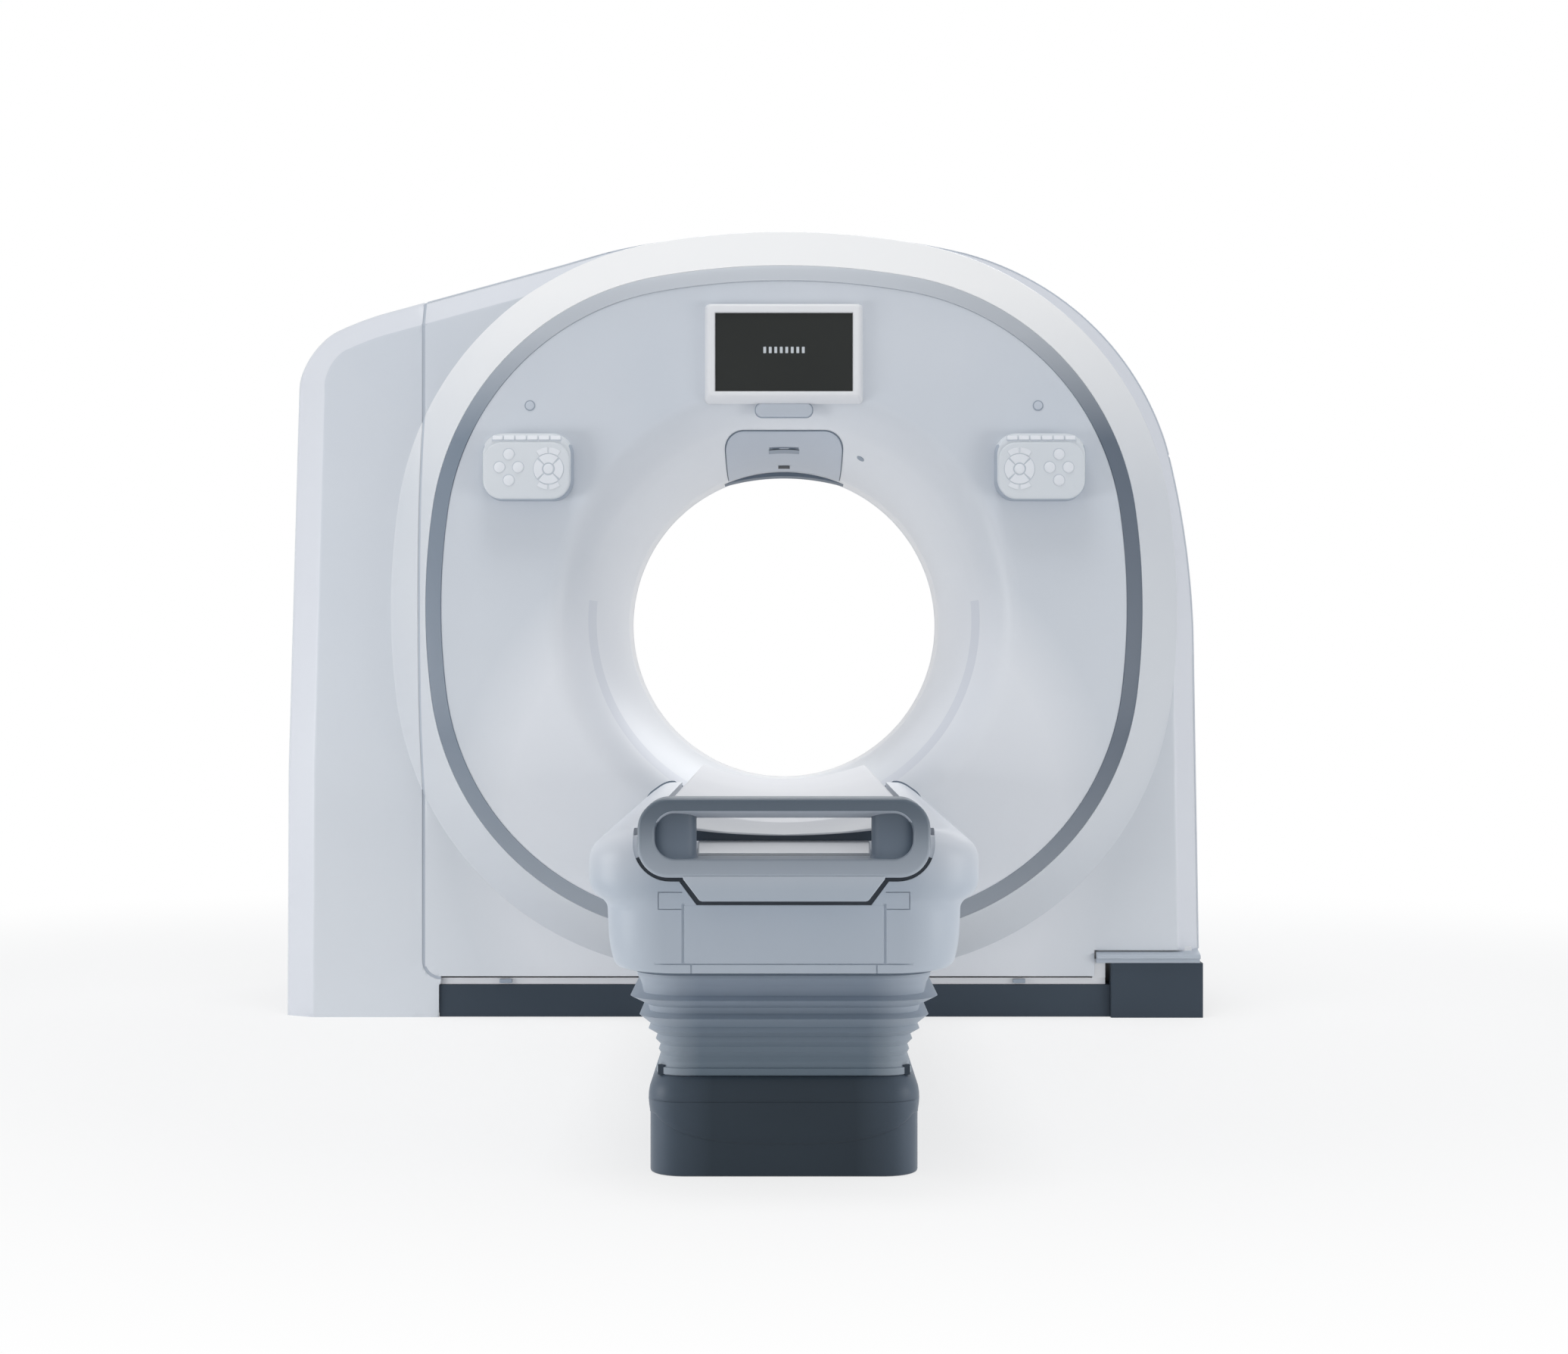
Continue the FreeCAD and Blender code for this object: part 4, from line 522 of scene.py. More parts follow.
def skin_profile():
    """Polylines from the front throat over the face and the outside to the rear throat."""
    oval = oval_points()
    outer, inner = stand_points(0, 0), stand_points(LEFT_BEVEL, OTHER_BEVEL)
    rear = stand_points(REAR_EDGE, REAR_EDGE)
    lift = np.array([0, OVAL_Z])
    # rays through the lower corners too, so that no corner falls between two rays
    feet = [c for c in np.concatenate([outer - lift, inner - lift])
            if c[1] < STAND_FLOOR - OVAL_Z + 1e-6]
    special = [math.atan2(c[1], c[0]) for c in feet]
    angles = np.sort(np.concatenate([np.linspace(-PI, PI, RAYS, endpoint=False), special]))
    angles = angles[np.concatenate([[True], np.diff(angles) > 1e-4])]
    rays = np.stack([np.cos(angles), np.sin(angles)], 1)

    def station(radius, y):
        """Points about the oval's centre, one on each ray."""
        flat = rays * radius[:, None] + lift
        depth = np.broadcast_to(np.asarray(y, float), radius.shape)
        return np.stack([flat[:, 0], depth, flat[:, 1]], 1)

    def ring(radius, y):
        """Points on a circle about the bore, one for each ray."""
        x, z = radius * rays[:, 0], BORE_Z + radius * rays[:, 1]
        return np.stack([x, np.full_like(x, y), z], 1)

    ring_inner, ring_outer, bevel_foot = (polar(grown(oval, grow), angles)
                                          for grow in (-RING_WIDTH, 0.0, OVAL_BEVEL))
    stand_in, stand_out, stand_rear = (polar(points - lift, angles)
                                       for points in (inner, outer, rear))
    drum = np.minimum(bevel_foot, stand_out - 0.001)
    edge = np.maximum(stand_in, drum + 0.0005)
    slope = np.clip((drum - stand_in) / np.maximum(stand_out - stand_in, 1e-6), 0, 1)
    foot_y = OVAL_BACK + (EDGE_BACK - OVAL_BACK) * slope

    # the quarter-round flare, then the flat face that swells up to the trim ring
    front = [ring(FLARE_R - (FLARE_R - BORE_R) * math.cos(turn),
                  THROAT_FRONT + (FACE_Y - THROAT_FRONT) * math.sin(turn))
             for turn in np.linspace(0, PI / 2, 25)]
    band_y = RING_Y + 0.0022
    start, stop = front[-1], station(ring_inner, band_y)
    for step in range(1, 28):
        point = start + (stop - start) * (step / 28)
        left = np.linalg.norm((stop - point)[:, [0, 2]], axis=1)
        point[:, 1] = FACE_Y + (band_y - FACE_Y) * np.clip(1 - left / SWELL, 0, 1)**2
        front.append(point)
    front.append(stop)
    # under the trim ring, down the oval's bevel, over the stand's bevel and along the outside
    bevel = [station(ring_inner + 0.002, RING_Y + 0.004),
             station(ring_outer - 0.002, RING_Y + RING_FALL + 0.004),
             station(ring_outer, RING_Y + RING_FALL),
             station(drum, OVAL_BACK), station(drum + 0.0004, foot_y),
             station(edge, np.where(stand_in > drum, OVAL_BACK, foot_y)),
             station(stand_out, EDGE_BACK), station(stand_out, REAR_SEAM),
             station(stand_out, GANTRY_REAR - REAR_EDGE), station(stand_rear, GANTRY_REAR)]
    bevel = rounded(bevel, [0, 0.003, 0.007, 0, 0.006, 0.014, 0, 0.02])
    # the rear face and its flare
    flare = ring(REAR_FLARE_R, GANTRY_REAR)
    back = [bevel[-1] + (flare - bevel[-1]) * step / 8 for step in range(1, 9)]
    back += [ring(REAR_FLARE_R - (REAR_FLARE_R - BORE_R) * math.sin(turn),
                  THROAT_REAR + (GANTRY_REAR - THROAT_REAR) * math.cos(turn))
             for turn in np.linspace(0, PI / 2, 21)[1:]]
    return front + bevel + back


def slice_faces(bm, point, normal, chosen):
    """Cut the chosen faces along a plane."""
    faces = [f for f in bm.faces if chosen(f.calc_center_median())]
    edges = {e for f in faces for e in f.edges}
    verts = {v for f in faces for v in f.verts}
    bmesh.ops.bisect_plane(bm, geom=[*faces, *edges, *verts], plane_co=point,
                           plane_no=normal, dist=1e-6)


def everywhere(_):
    """Chooses every face."""
    return True


def slice_at(bm, axis, place, chosen=everywhere):
    """Cut the chosen faces where one axis, 0 to 2, has this value."""
    normal = [float(axis == k) for k in range(3)]
    slice_faces(bm, [place * n for n in normal], normal, chosen)


def in_vent(c):
    """Whether a point of the rear cover lies in one of its two banks of vents."""
    level = (c.z - VENT_LOW) / VENT_PITCH
    return (VENT_INNER < abs(c.x) < VENT_OUTER and 0 < level < VENT_COUNT
            and level % 1 < VENT_HEIGHT / VENT_PITCH and c.y > GANTRY_REAR - 0.001)


def cut_vents(bm):
    """Cut the rear cover along the edges of its vents."""
    def rear(c):
        return c.y > GANTRY_REAR - 0.001 and c.z < 0.75

    for x in (VENT_INNER, VENT_OUTER, -VENT_INNER, -VENT_OUTER):
        slice_at(bm, 0, x, rear)
    for level in range(VENT_COUNT):
        low = VENT_LOW + VENT_PITCH * level
        for z in (low, low + VENT_HEIGHT):
            slice_at(bm, 2, z, rear)


def cut_seams(bm):
    """Cut the skin on both sides of every seam, so that the strip between can go."""
    slice_at(bm, 2, FLOOR_GAP, lambda c: c.z < 0.3)
    for g in (-SEAM_GAP, SEAM_GAP):
        slice_at(bm, 0, SEAM_X + g, lambda c: c.y < REAR_SEAM + 0.01)
        slice_at(bm, 1, REAR_SEAM + g)
        slice_at(bm, 1, EDGE_BACK + g)
        slice_at(bm, 2, FRONT_BOTTOM + g, lambda c: c.z < 0.3)
        slice_at(bm, 2, LID_TOP + g, lambda c: c.x > NOTCH_X - 0.1 and c.z < 0.4)
        slice_at(bm, 0, NOTCH_X + g, lambda c: c.z < 0.4)
        slice_at(bm, 2, SIDE_SPLIT + g, lambda c: c.x > RIGHT_SIDE and EDGE_BACK < c.y < REAR_SEAM)
        slice_at(bm, 0, PLINTH_LEFT, lambda c: c.z < 0.2)
    centre = (SEAM_X + SEAM_CORNER, FRONT_BOTTOM + SEAM_CORNER)

    def corner(c):
        return (SEAM_X - 0.01 < c.x < centre[0] + SEAM_GAP and c.y < EDGE_BACK - 0.02
                and FRONT_BOTTOM - 0.01 < c.z < centre[1] + SEAM_GAP)

    count = 8
    half_turn = PI / 4 / count
    for step in range(count + 1):
        turn = PI + 2 * half_turn * step
        slice_faces(bm, (centre[0], 0, centre[1]), (-math.sin(turn), 0, math.cos(turn)), corner)
    for step in range(count):
        turn = PI + 2 * half_turn * (step + 0.5)
        for g in (-SEAM_GAP, SEAM_GAP):
            radius = SEAM_CORNER * math.cos(half_turn) + g
            out = (math.cos(turn), 0, math.sin(turn))

            def wedge(c, turn=turn):
                angle = math.atan2(c.z - centre[1], c.x - centre[0]) % (2 * PI)
                return corner(c) and abs(angle - turn) < half_turn

            slice_faces(bm, (centre[0] + radius * out[0], 0, centre[1] + radius * out[2]),
                        out, wedge)


def cover_of(c):
    """Which cover a point of the skin belongs to, "seam", or None in an open stretch."""
    g = SEAM_GAP
    if c.z < FLOOR_GAP:
        return None
    if math.hypot(c.x, c.z - BORE_Z) < FLARE_R - 0.001:
        return "front_cover" if c.y < 0.5 * (THROAT_FRONT + THROAT_REAR) else "rear_cover"
    if abs(c.y - REAR_SEAM) < g:
        return "seam"
    if c.y > REAR_SEAM:
        return None if c.z < FRONT_BOTTOM or in_vent(c) else "rear_cover"
    if c.y < EDGE_BACK - g:
        dx, dz = c.x - (SEAM_X + SEAM_CORNER), c.z - (FRONT_BOTTOM + SEAM_CORNER)
        in_corner = dx < 0 and dz < 0
        away = math.hypot(dx, dz) - SEAM_CORNER
        if in_corner and abs(away) < g:
            return "seam"
        if c.x < SEAM_X - g or (in_corner and away > 0):
            return "left_cover"
        if abs(c.x - SEAM_X) <= g:
            return "seam" if c.z > FRONT_BOTTOM else "left_cover"
        if c.z < FRONT_BOTTOM - g:
            return "left_cover" if c.x < PLINTH_LEFT else None
        if c.z < FRONT_BOTTOM + g or (c.x > NOTCH_X - g and c.z < LID_TOP + g):
            return None
        return "front_cover"
    if c.x < SEAM_X - g:
        return "left_cover"
    if abs(c.y - EDGE_BACK) <= g or abs(c.x - SEAM_X) <= g:
        return "seam"
    if c.x > RIGHT_SIDE and abs(c.z - SIDE_SPLIT) < g:
        return "seam"
    if c.z > SIDE_SPLIT or c.x < RIGHT_SIDE:
        return "top_cover"
    return "right_cover" if c.z > LID_TOP + g else None


def make_gantry_skin():
    """One skin about the bore, parted at its seams into five covers with a wall."""
    mesh = mesh_of("skin", *loft(skin_profile(), caps=(False, False)))
    bm = bmesh.new()
    bm.from_mesh(mesh)
    bmesh.ops.remove_doubles(bm, verts=bm.verts, dist=2e-5)
    bmesh.ops.recalc_face_normals(bm, faces=bm.faces)
    outward = sum((f.normal.dot(f.calc_center_median() - Vector((0, 0, BORE_Z)))
                   * f.calc_area() for f in bm.faces if f.calc_center_median().z > 1.8), 0.0)
    if outward < 0:
        bmesh.ops.reverse_faces(bm, faces=bm.faces)
    cut_seams(bm)
    cut_vents(bm)
    names = {}
    for face in bm.faces:
        names.setdefault(cover_of(face.calc_center_median()), set()).add(face.index)
    bm.to_mesh(mesh)
    bm.free()
    for name in ("front_cover", "left_cover", "top_cover", "right_cover", "rear_cover", "seam"):
        part = bmesh.new()
        part.from_mesh(mesh)
        gone = [f for f in part.faces if f.index not in names[name]]
        bmesh.ops.delete(part, geom=gone, context="FACES")
        # The seam strips sink a little below the skin and take a darker grey: painted shade in the
        # gaps between covers.
        if name == "seam":
            part.normal_update()
            for vert in part.verts:
                vert.co -= vert.normal * SEAM_DEPTH
        own = bpy.data.meshes.new(name + "_shell")
        part.to_mesh(own)
        part.free()
        if name == "seam":
            finish_piece("cover_seams", own, SEAM, "root", "cover_white", wall=0.001)
        else:
            paint_bevels(finish_piece(name + "_shell", own, COVER, "root", "cover_white", 30.0,
                                      [name], COVER_WALL))


def paint_bevels(shell):
    """Painted highlights: the oval's bevel takes the band's lighter shade, and the stand's
    upward-facing upper bevel the edge's lighter one.
    """
    shell.data.materials.append(BAND)
    shell.data.materials.append(EDGE)
    for face in shell.data.polygons:
        x, y, z = face.center
        if math.hypot(x, z - OVAL_Z) > BEVEL_FROM and RING_Y + RING_FALL - 0.001 < y < OVAL_BACK:
            face.material_index = 1
        if OVAL_BACK < y < EDGE_BACK and -0.95 < face.normal.y < -0.1 < face.normal.z:
            face.material_index = 2


def make_trim_ring():
    """The oval's grey ring, whose front falls back toward its outer edge."""
    oval = oval_points()
    gap, edge, deep, fall = 0.001, 0.0012, 0.006, RING_FALL
    rings = [in_plane(grown(oval, grow), y, 0, OVAL_Z) for grow, y in (
        (gap - RING_WIDTH, RING_Y + deep), (gap - RING_WIDTH, RING_Y + edge),
        (gap - RING_WIDTH + edge, RING_Y), (-RING_WIDTH * 0.66, RING_Y + fall * 0.32),
        (-RING_WIDTH * 0.33, RING_Y + fall * 0.65), (-gap - edge, RING_Y + fall),
        (-gap, RING_Y + fall + edge), (-gap, RING_Y + fall + deep))]
    piece("trim_ring_band", *loft(rings, closed=True), RING, "root", "trim_grey",
          replaces=["trim_ring"])


def make_bore_liner():
    """The throat's liner, and the scan window's strip that sags a little at the top."""
    skin = BORE_R + 0.0002
    rings = [hoop(radius, y, count=256) for radius, y in (
        (BORE_R + 0.0030, THROAT_FRONT + 0.0010), (skin, THROAT_FRONT + 0.0012), (skin, 0.160),
        (skin, 0.190), (skin, 0.220), (skin, THROAT_REAR - 0.0008),
        (BORE_R + 0.004, THROAT_REAR))]
    piece("bore_liner_tube", *loft(rings, closed=True), WHITE, "root", "cover_white",
          replaces=["bore_liner"])
    half, sag = 0.400, 0.0100
    window = np.linspace(PI / 2 - half, PI / 2 + half, 61)
    hang = sag * (1 - ((window - PI / 2) / half) ** 2)
    slit = []
    for drop, y in ((0.0, 0.1800), (1.0, 0.1840), (1.0, 0.2680), (0.0, 0.2725)):
        radius = BORE_R - hang * drop
        slit.append(np.stack([radius * np.cos(window), np.full_like(window, y),
                              BORE_Z + radius * np.sin(window)], 1))
    piece("bore_window_strip", np.concatenate(slit), grid(3, len(window)), GAP, "root",
          "laser_grey")


# ---- pieces on the gantry's face -------------------------------------------------------------

def frame_rings(specs, x0=0.0, z0=0.0):
    """Round-cornered outlines, from half width, low and high about z0, corner and depth."""
    return [in_plane(rounded_rectangle(half, (high - low) / 2, corner), y, x0,
                     z0 + (low + high) / 2) for half, low, high, corner, y in specs]


def tilted(rings, turn, pivot):
    """Rings turned about an X axis through a point."""
    c, s = math.cos(turn), math.sin(turn)
    out = []
    for ring in rings:
        y, z = ring[:, 1] - pivot[0], ring[:, 2] - pivot[1]
        out.append(np.stack([ring[:, 0], pivot[0] + c * y - s * z, pivot[1] + s * y + c * z], 1))
    return out


def make_display():
    """White bezel with a soft rim and a chin that runs into the cover, round the dark glass."""
    low, high, half = 1.480, 1.701, 0.1805
    piece("display_frame", *loft(frame_rings([
        (half + 0.0068, low - 0.013, high + 0.002, 0.011, FACE_Y),
        (half + 0.0045, low - 0.009, high + 0.001, 0.011, -0.5050),
        (half + 0.0015, low - 0.003, high, 0.010, -0.5130),
        (half - 0.0005, low, high - 0.0010, 0.009, -0.5170),
        (half - 0.0035, low + 0.0030, high - 0.0040, 0.007, -0.5195),
        (half - 0.0065, low + 0.0060, high - 0.0075, 0.006, -0.5200),
        (half - 0.0140, low + 0.0112, high - 0.0180, 0.003, -0.5200),
        (0.1640, 1.4935, 1.6805, 0.002, -0.5190), (0.1622, 1.4948, 1.6792, 0.0012, -0.5150),
        (0.1622, 1.4948, 1.6792, 0.0012, -0.5100)]), closed=True), WHITE, "root",
        "panel_white", replaces=["display_bezel"])
    middle = 1.452
    piece("display_release_tab", *loft(slabs([
        (0.0670, 0.0160, 0.0150, -0.470), (0.0670, 0.0160, 0.0150, -0.4940),
        (0.0660, 0.0150, 0.0142, -0.4955), (0.0630, 0.0125, 0.0120, -0.4965)], 0, middle)),
        LASER, "root", "panel_white", replaces=["display_tab"])
    # A darker ring just behind the tab's edge: painted shade in the gap round the tab.
    piece("display_tab_gap", *loft(slabs([
        (wide, 0.0180, 0.0168, y) for wide, y in
        ((0.0692, -0.480), (0.0692, -0.4926), (0.0688, -0.4928))], 0, middle)), TRIM,
        "root", "panel_white")


def make_screen_marks():
    """A short row of plain bars where the screen shows its start page."""
    bars, pitch, height = 8, 0.0130, 1.592
    parts = [loft(slabs([(0.0033, 0.0075, 0.0012, y) for y in (-0.5149, -0.5152)],
                        -0.0455 + pitch * bar, height, 4)) for bar in range(bars)]
    piece("screen_bars", *joined(parts), MARK, "root", "screen_glass")


def on_flare(x, turn, lift=0.0):
    """A point of the flare at a sideways place and a turn of its section, raised by lift."""
    wide, deep = FLARE_R - BORE_R, FACE_Y - THROAT_FRONT
    out, back = deep * math.cos(turn), -wide * math.sin(turn)
    scale = lift / math.hypot(out, back)
    radius = FLARE_R - wide * math.cos(turn) + out * scale
    y = THROAT_FRONT + deep * math.sin(turn) + back * scale
    return x, y, BORE_Z + math.sqrt(radius * radius - x * x)


def turn_at(radius):
    """The turn of the flare's section at a distance from the bore's axis."""
    return math.acos(min(1.0, (FLARE_R - radius) / (FLARE_R - BORE_R)))


def flare_patch(half, turns, lift, count):
    """A sheet just above the flare, with count points from side to side at each turn."""
    rows = [[on_flare(x, turn, lift) for x in np.linspace(-half, half, count)]
            for turn in turns]
    return np.concatenate(rows), grid(len(rows) - 1, count)


def make_laser_cover():
    """A skin on the flare above the bore: arched top edge, finger slot, and a sensor."""
    half, top, corner, skin = 0.142, 1.4150, 0.046, 0.0022
    slot_x, slot_edge, slot_deep = 0.0375, 0.0015, 0.0060
    slot_low, slot_high = turn_at(0.4215), turn_at(0.4285)
    edges = [math.asin(x / half) * 2 / PI for x in (slot_x, slot_x - slot_edge)]
    turns = np.sort(np.concatenate([np.linspace(-1, 1, 97), edges, [-e for e in edges]]))

    def upper(x):
        """Height of the arched top edge, whose ends turn down in round corners."""
        reach = max(0.0, abs(x) - (half - corner))
        return (top - 0.004 * (x / half) ** 2
                - 0.85 * (corner - math.sqrt(max(0.0, corner**2 - reach**2))))

    def carved_lift(x, t, turn, rows_left):
        """How far the skin stands off the flare: down at its rim and in the slot."""
        rise = 0.0 if abs(t) > 0.985 else skin * math.sin(PI / 2 * min(1.0, rows_left / 3))
        edge = min(1.0, max(0.0, (slot_x - abs(x)) / slot_edge))
        inside = min(turn - slot_low, slot_high - turn) / 0.02
        rise -= slot_deep * edge * min(1.0, max(0.0, inside))
        if turn > slot_high:
            rise -= skin * edge * max(0.0, 1 - (turn - slot_high) / 0.10)
        return rise

    def sheet(grow, rows, lift_at):
        """The cover's outline, grown a little, as a sheet that stands off the flare."""
        verts = []
        for row in range(rows + 1):
            for t in turns:
                x = half * math.sin(t * PI / 2)
                turn = turn_at(math.hypot(x, upper(x) + grow - BORE_Z)) * row / rows
                verts.append(on_flare(x * (1 + grow / half), turn,
                                      lift_at(x, t, turn, rows - row)))
        return verts, grid(rows, len(turns))

    piece("laser_cover_skin", *sheet(0.0, 110, carved_lift), LASER, "root", "laser_grey",
          replaces=["laser_cover"])
    # A dark sheet a little wider than the cover, just over the flare: painted shade along the
    # cover's edge.
    piece("laser_cover_gap", *sheet(0.0024, 16, lambda *_: 0.0006), GAP, "root", "laser_grey")
    shade = flare_patch(slot_x, np.linspace(slot_low, slot_low + 0.075, 4), 0.0030, 13)
    piece("laser_slot_shade", *shade, TRIM, "root", "laser_grey")
    sensor = flare_patch(0.0145, [turn_at(r) for r in (0.4014, 0.4028, 0.4043)], 0.0032, 7)
    piece("laser_sensor", *sensor, SHADOW, "root", "screen_glass", replaces=["laser_window"])
    dot_x, dot_turn = 0.187, turn_at(0.4400)
    dot = [np.array([on_flare(dot_x + 0.0085 * share * math.cos(t),
                              dot_turn + 0.030 * share * math.sin(t), lift)
                     for t in np.linspace(0, 2 * PI, 32, endpoint=False)])
           for share, lift in ((1.0, -0.004), (1.0, 0.0010), (0.85, 0.0016))]
    piece("flare_sensor", *loft(dot), TRIM, "root", "laser_grey")


def make_plugs():
    """Two round plugs beside the display, and two latches in the plinth's edge."""
    seat = ((0.0125, 0.0), (0.0125, 0.0009), (0.0119, 0.0013))
    cap = ((0.0100, 0.0), (0.0100, 0.0018), (0.0090, 0.0024), (0.0050, 0.0025))
    seats, caps = ([loft([hoop(radius, FACE_Y - depth, side * PLUG_X, PLUG_Z)
                          for radius, depth in steps]) for side in (-1, 1)]
                   for steps in (seat, cap))
    piece("plug_caps", *joined(caps), LASER, "root", "trim_grey")
    latches = [loft(pillow(0.015, 0.005, 0.002, -0.372, -0.3795, 0.001, x, 0.087, 4, 3))
               for x in (-0.671, 0.567)]
    piece("plugs_and_latches", *joined(seats + latches), TRIM, "root", "trim_grey",
          replaces=["cover_fasteners"])


# ---- control panels --------------------------------------------------------------------------

PANEL_X = 0.605
PANEL_Z = 1.318
PANEL_FRONT = -0.550


def wedge_ring(inner, outer, start, stop, y, x0, z0):
    """Outline of a piece of a ring between two angles."""
    return in_plane([(radius * math.cos(t), radius * math.sin(t))
                     for radius, first, last in ((outer, start, stop), (inner, stop, start))
                     for t in np.linspace(first, last, 10)], y, x0, z0)


def key_stack(outline, back, front, edge, centre):
    """Rings of a soft key: its outline drawn in a little near its face."""
    rings = [outline(back)]
    for turn in np.linspace(0, PI / 2, 5):
        share = 1 - edge * (1 - math.cos(turn))
        ring = outline(front + 0.0012 * (1 - math.sin(turn)))
        ring[:, [0, 2]] = centre + (ring[:, [0, 2]] - centre) * share
        rings.append(ring)
    return rings


def make_panel(name, side):
    """A control panel: housing, face, moulded keys, five buttons, and darker discs behind keys and
    buttons as painted shade.
    """
    x0, z0 = side * PANEL_X, PANEL_Z
    housing = frame_rings([
        (0.1070, -0.0820, 0.0770, 0.048, FACE_Y),
        (0.1062, -0.0818, 0.0768, 0.048, -0.520),
        (0.1055, -0.0812, 0.0760, 0.048, -0.530),
        (0.1046, -0.0805, 0.0740, 0.047, -0.536),
        (0.1035, -0.0795, 0.0700, 0.046, -0.5405),
        (0.1015, -0.0775, 0.0560, 0.044, -0.5435)], x0, z0)
    shell = piece(name + "_panel_housing", *loft(housing), PANEL, "root", "panel_white",
                  replaces=[name + "_panel"])
    # Side walls of the housing take the darker grey: painted shade.
    shell.data.materials.append(WALL)
    wall_front = -0.539
    for face in shell.data.polygons:
        face.material_index = int(face.center.y > wall_front and face.normal.z < 0.4)
    face = frame_rings([
        (0.1015, -0.0800, 0.0535, 0.043, -0.5400),
        (0.1015, -0.0800, 0.0535, 0.043, -0.5465),
        (0.1005, -0.0790, 0.0528, 0.042, -0.5487),
        (0.0985, -0.0770, 0.0512, 0.040, -0.5497),
        (0.0960, -0.0745, 0.0490, 0.038, PANEL_FRONT)], x0, z0)
    piece(name + "_panel_face", *loft(face), PANEL, "root", "panel_white")
    nav = np.array([x0 - side * 0.052, z0 - 0.0095])
    key_y, key_z, key_pitch, key_tilt = -0.5416, z0 + 0.0640, 0.0273, math.radians(-25)

    def key_row(rings_at):
        """Six copies side by side along the panel's sloping top."""
        return [loft(tilted(rings_at(x0 + (column - 2.5) * key_pitch), key_tilt,
                            (key_y, key_z))) for column in range(6)]

    def ring_key(inner, outer, middle, reach):
        """A key that is part of a ring about the centre button."""
        def outline(y):
            return wedge_ring(inner, outer, middle - reach, middle + reach, y, *nav)

        centre = nav + (inner + outer) / 2 * np.array([math.cos(middle), math.sin(middle)])
        return loft(key_stack(outline, -0.549, -0.5518, 0.10, centre))

    keys = key_row(lambda x: pillow(0.0122, 0.0058, 0.003, -0.5380, -0.5446, 0.002, x, key_z,
                                    5, 4))
    keys += [ring_key(0.0150, 0.0350, PI / 2 * quarter, 0.72) for quarter in range(4)]
    keys += [ring_key(0.0372, outer, up * PI / 2 + across * 0.33, 0.28)
             for up, outer in ((1, 0.0505), (-1, 0.0480)) for across in (-1, 1)]
    piece(name + "_panel_keys", *joined(keys), KEYPAD, "root", "keypad_grey", 50.0,
          replaces=[name + "_keypad"])
    bx, bz, wide, tall = side * (PANEL_X + 0.041), PANEL_Z - 0.006, side * 0.022, 0.0305
    places = [(bx, bz + tall), (bx + wide, bz), (bx - wide, bz), (bx, bz - tall)]
    # Darker discs behind the buttons, set a little up and left to show a crescent, and behind the
    # ring keys and the key row: painted shade.
    well_shades = [disc(0.0142, (x - 0.0004, z + 0.0010)) for x, z in places] + [disc(0.0365, nav)]
    well_shades += key_row(lambda x: frame_rings([(0.0134, 0.0570, 0.0708, 0.003, y)
                                            for y in (-0.5380, -0.5425)], x, z0))
    piece(name + "_panel_wells", *joined(well_shades), WELL, "root", "panel_white")
    for index, place in enumerate(places, 1):
        make_button(f"{name}_button_{index}", 0.0128, place)
    make_button(name + "_centre_button", 0.0120, nav)


def disc(radius, place):
    """A thin disc on a panel's face."""
    return loft([hoop(r, y, *place) for r, y in
                 ((radius, -0.548), (radius, -0.5502), (radius - 0.0004, -0.5504))])


def make_button(name, radius, place):
    """A domed rubber button on the body of its own joint."""
    dome = ((1.0, -0.0035), (1.0, 0.0006), (0.97, 0.0014), (0.88, 0.0022), (0.70, 0.0027),
            (0.45, 0.0030), (0.2, 0.0031))
    rings = [hoop(radius * share, PANEL_FRONT - depth, *place, 40) for share, depth in dome]
    piece(name + "_cap", *loft(rings), KEYPAD, name, "keypad_grey", replaces=[name])


# ---- plinth and foot box ---------------------------------------------------------------------

def box_rings(x, z, stations):
    """The rectangle between two places in X and two in Z, at each depth."""
    return [np.array([(x[1], y, z[0]), (x[1], y, z[1]), (x[0], y, z[1]), (x[0], y, z[0])])
            for y in stations]


def make_plinth():
    """Dark board along the floor with an eased front edge, and the pale shelf above it."""
    rings = []
    for inset, top, y in ((0.0, 0.0780, -0.2920), (0.0, 0.0780, -0.3705),
                          (0.0005, 0.0772, -0.3716), (0.0020, 0.0755, -0.3720)):
        rings += box_rings((PLINTH_LEFT + inset, PLINTH_RIGHT - inset), (inset, top), [y])
    piece("plinth_panel", *loft(rings), DARK, "root", "base_dark", replaces=["plinth"])
    shelf = box_rings((PLINTH_LEFT, 0.7755), (0.0785, 0.0940), (-0.292, -0.368))
    piece("plinth_shelf", *loft(shelf), WHITE, "root", "cover_white")


def section_loft(section, stations):
    """A bar along X with the same YZ section, its ends drawn in by small shares."""
    centre = np.mean(section, axis=0)
    return loft([np.array([(x, y, z) for y, z in centre + (section - centre) * (1 - shrink)])
                 for x, shrink in stations])


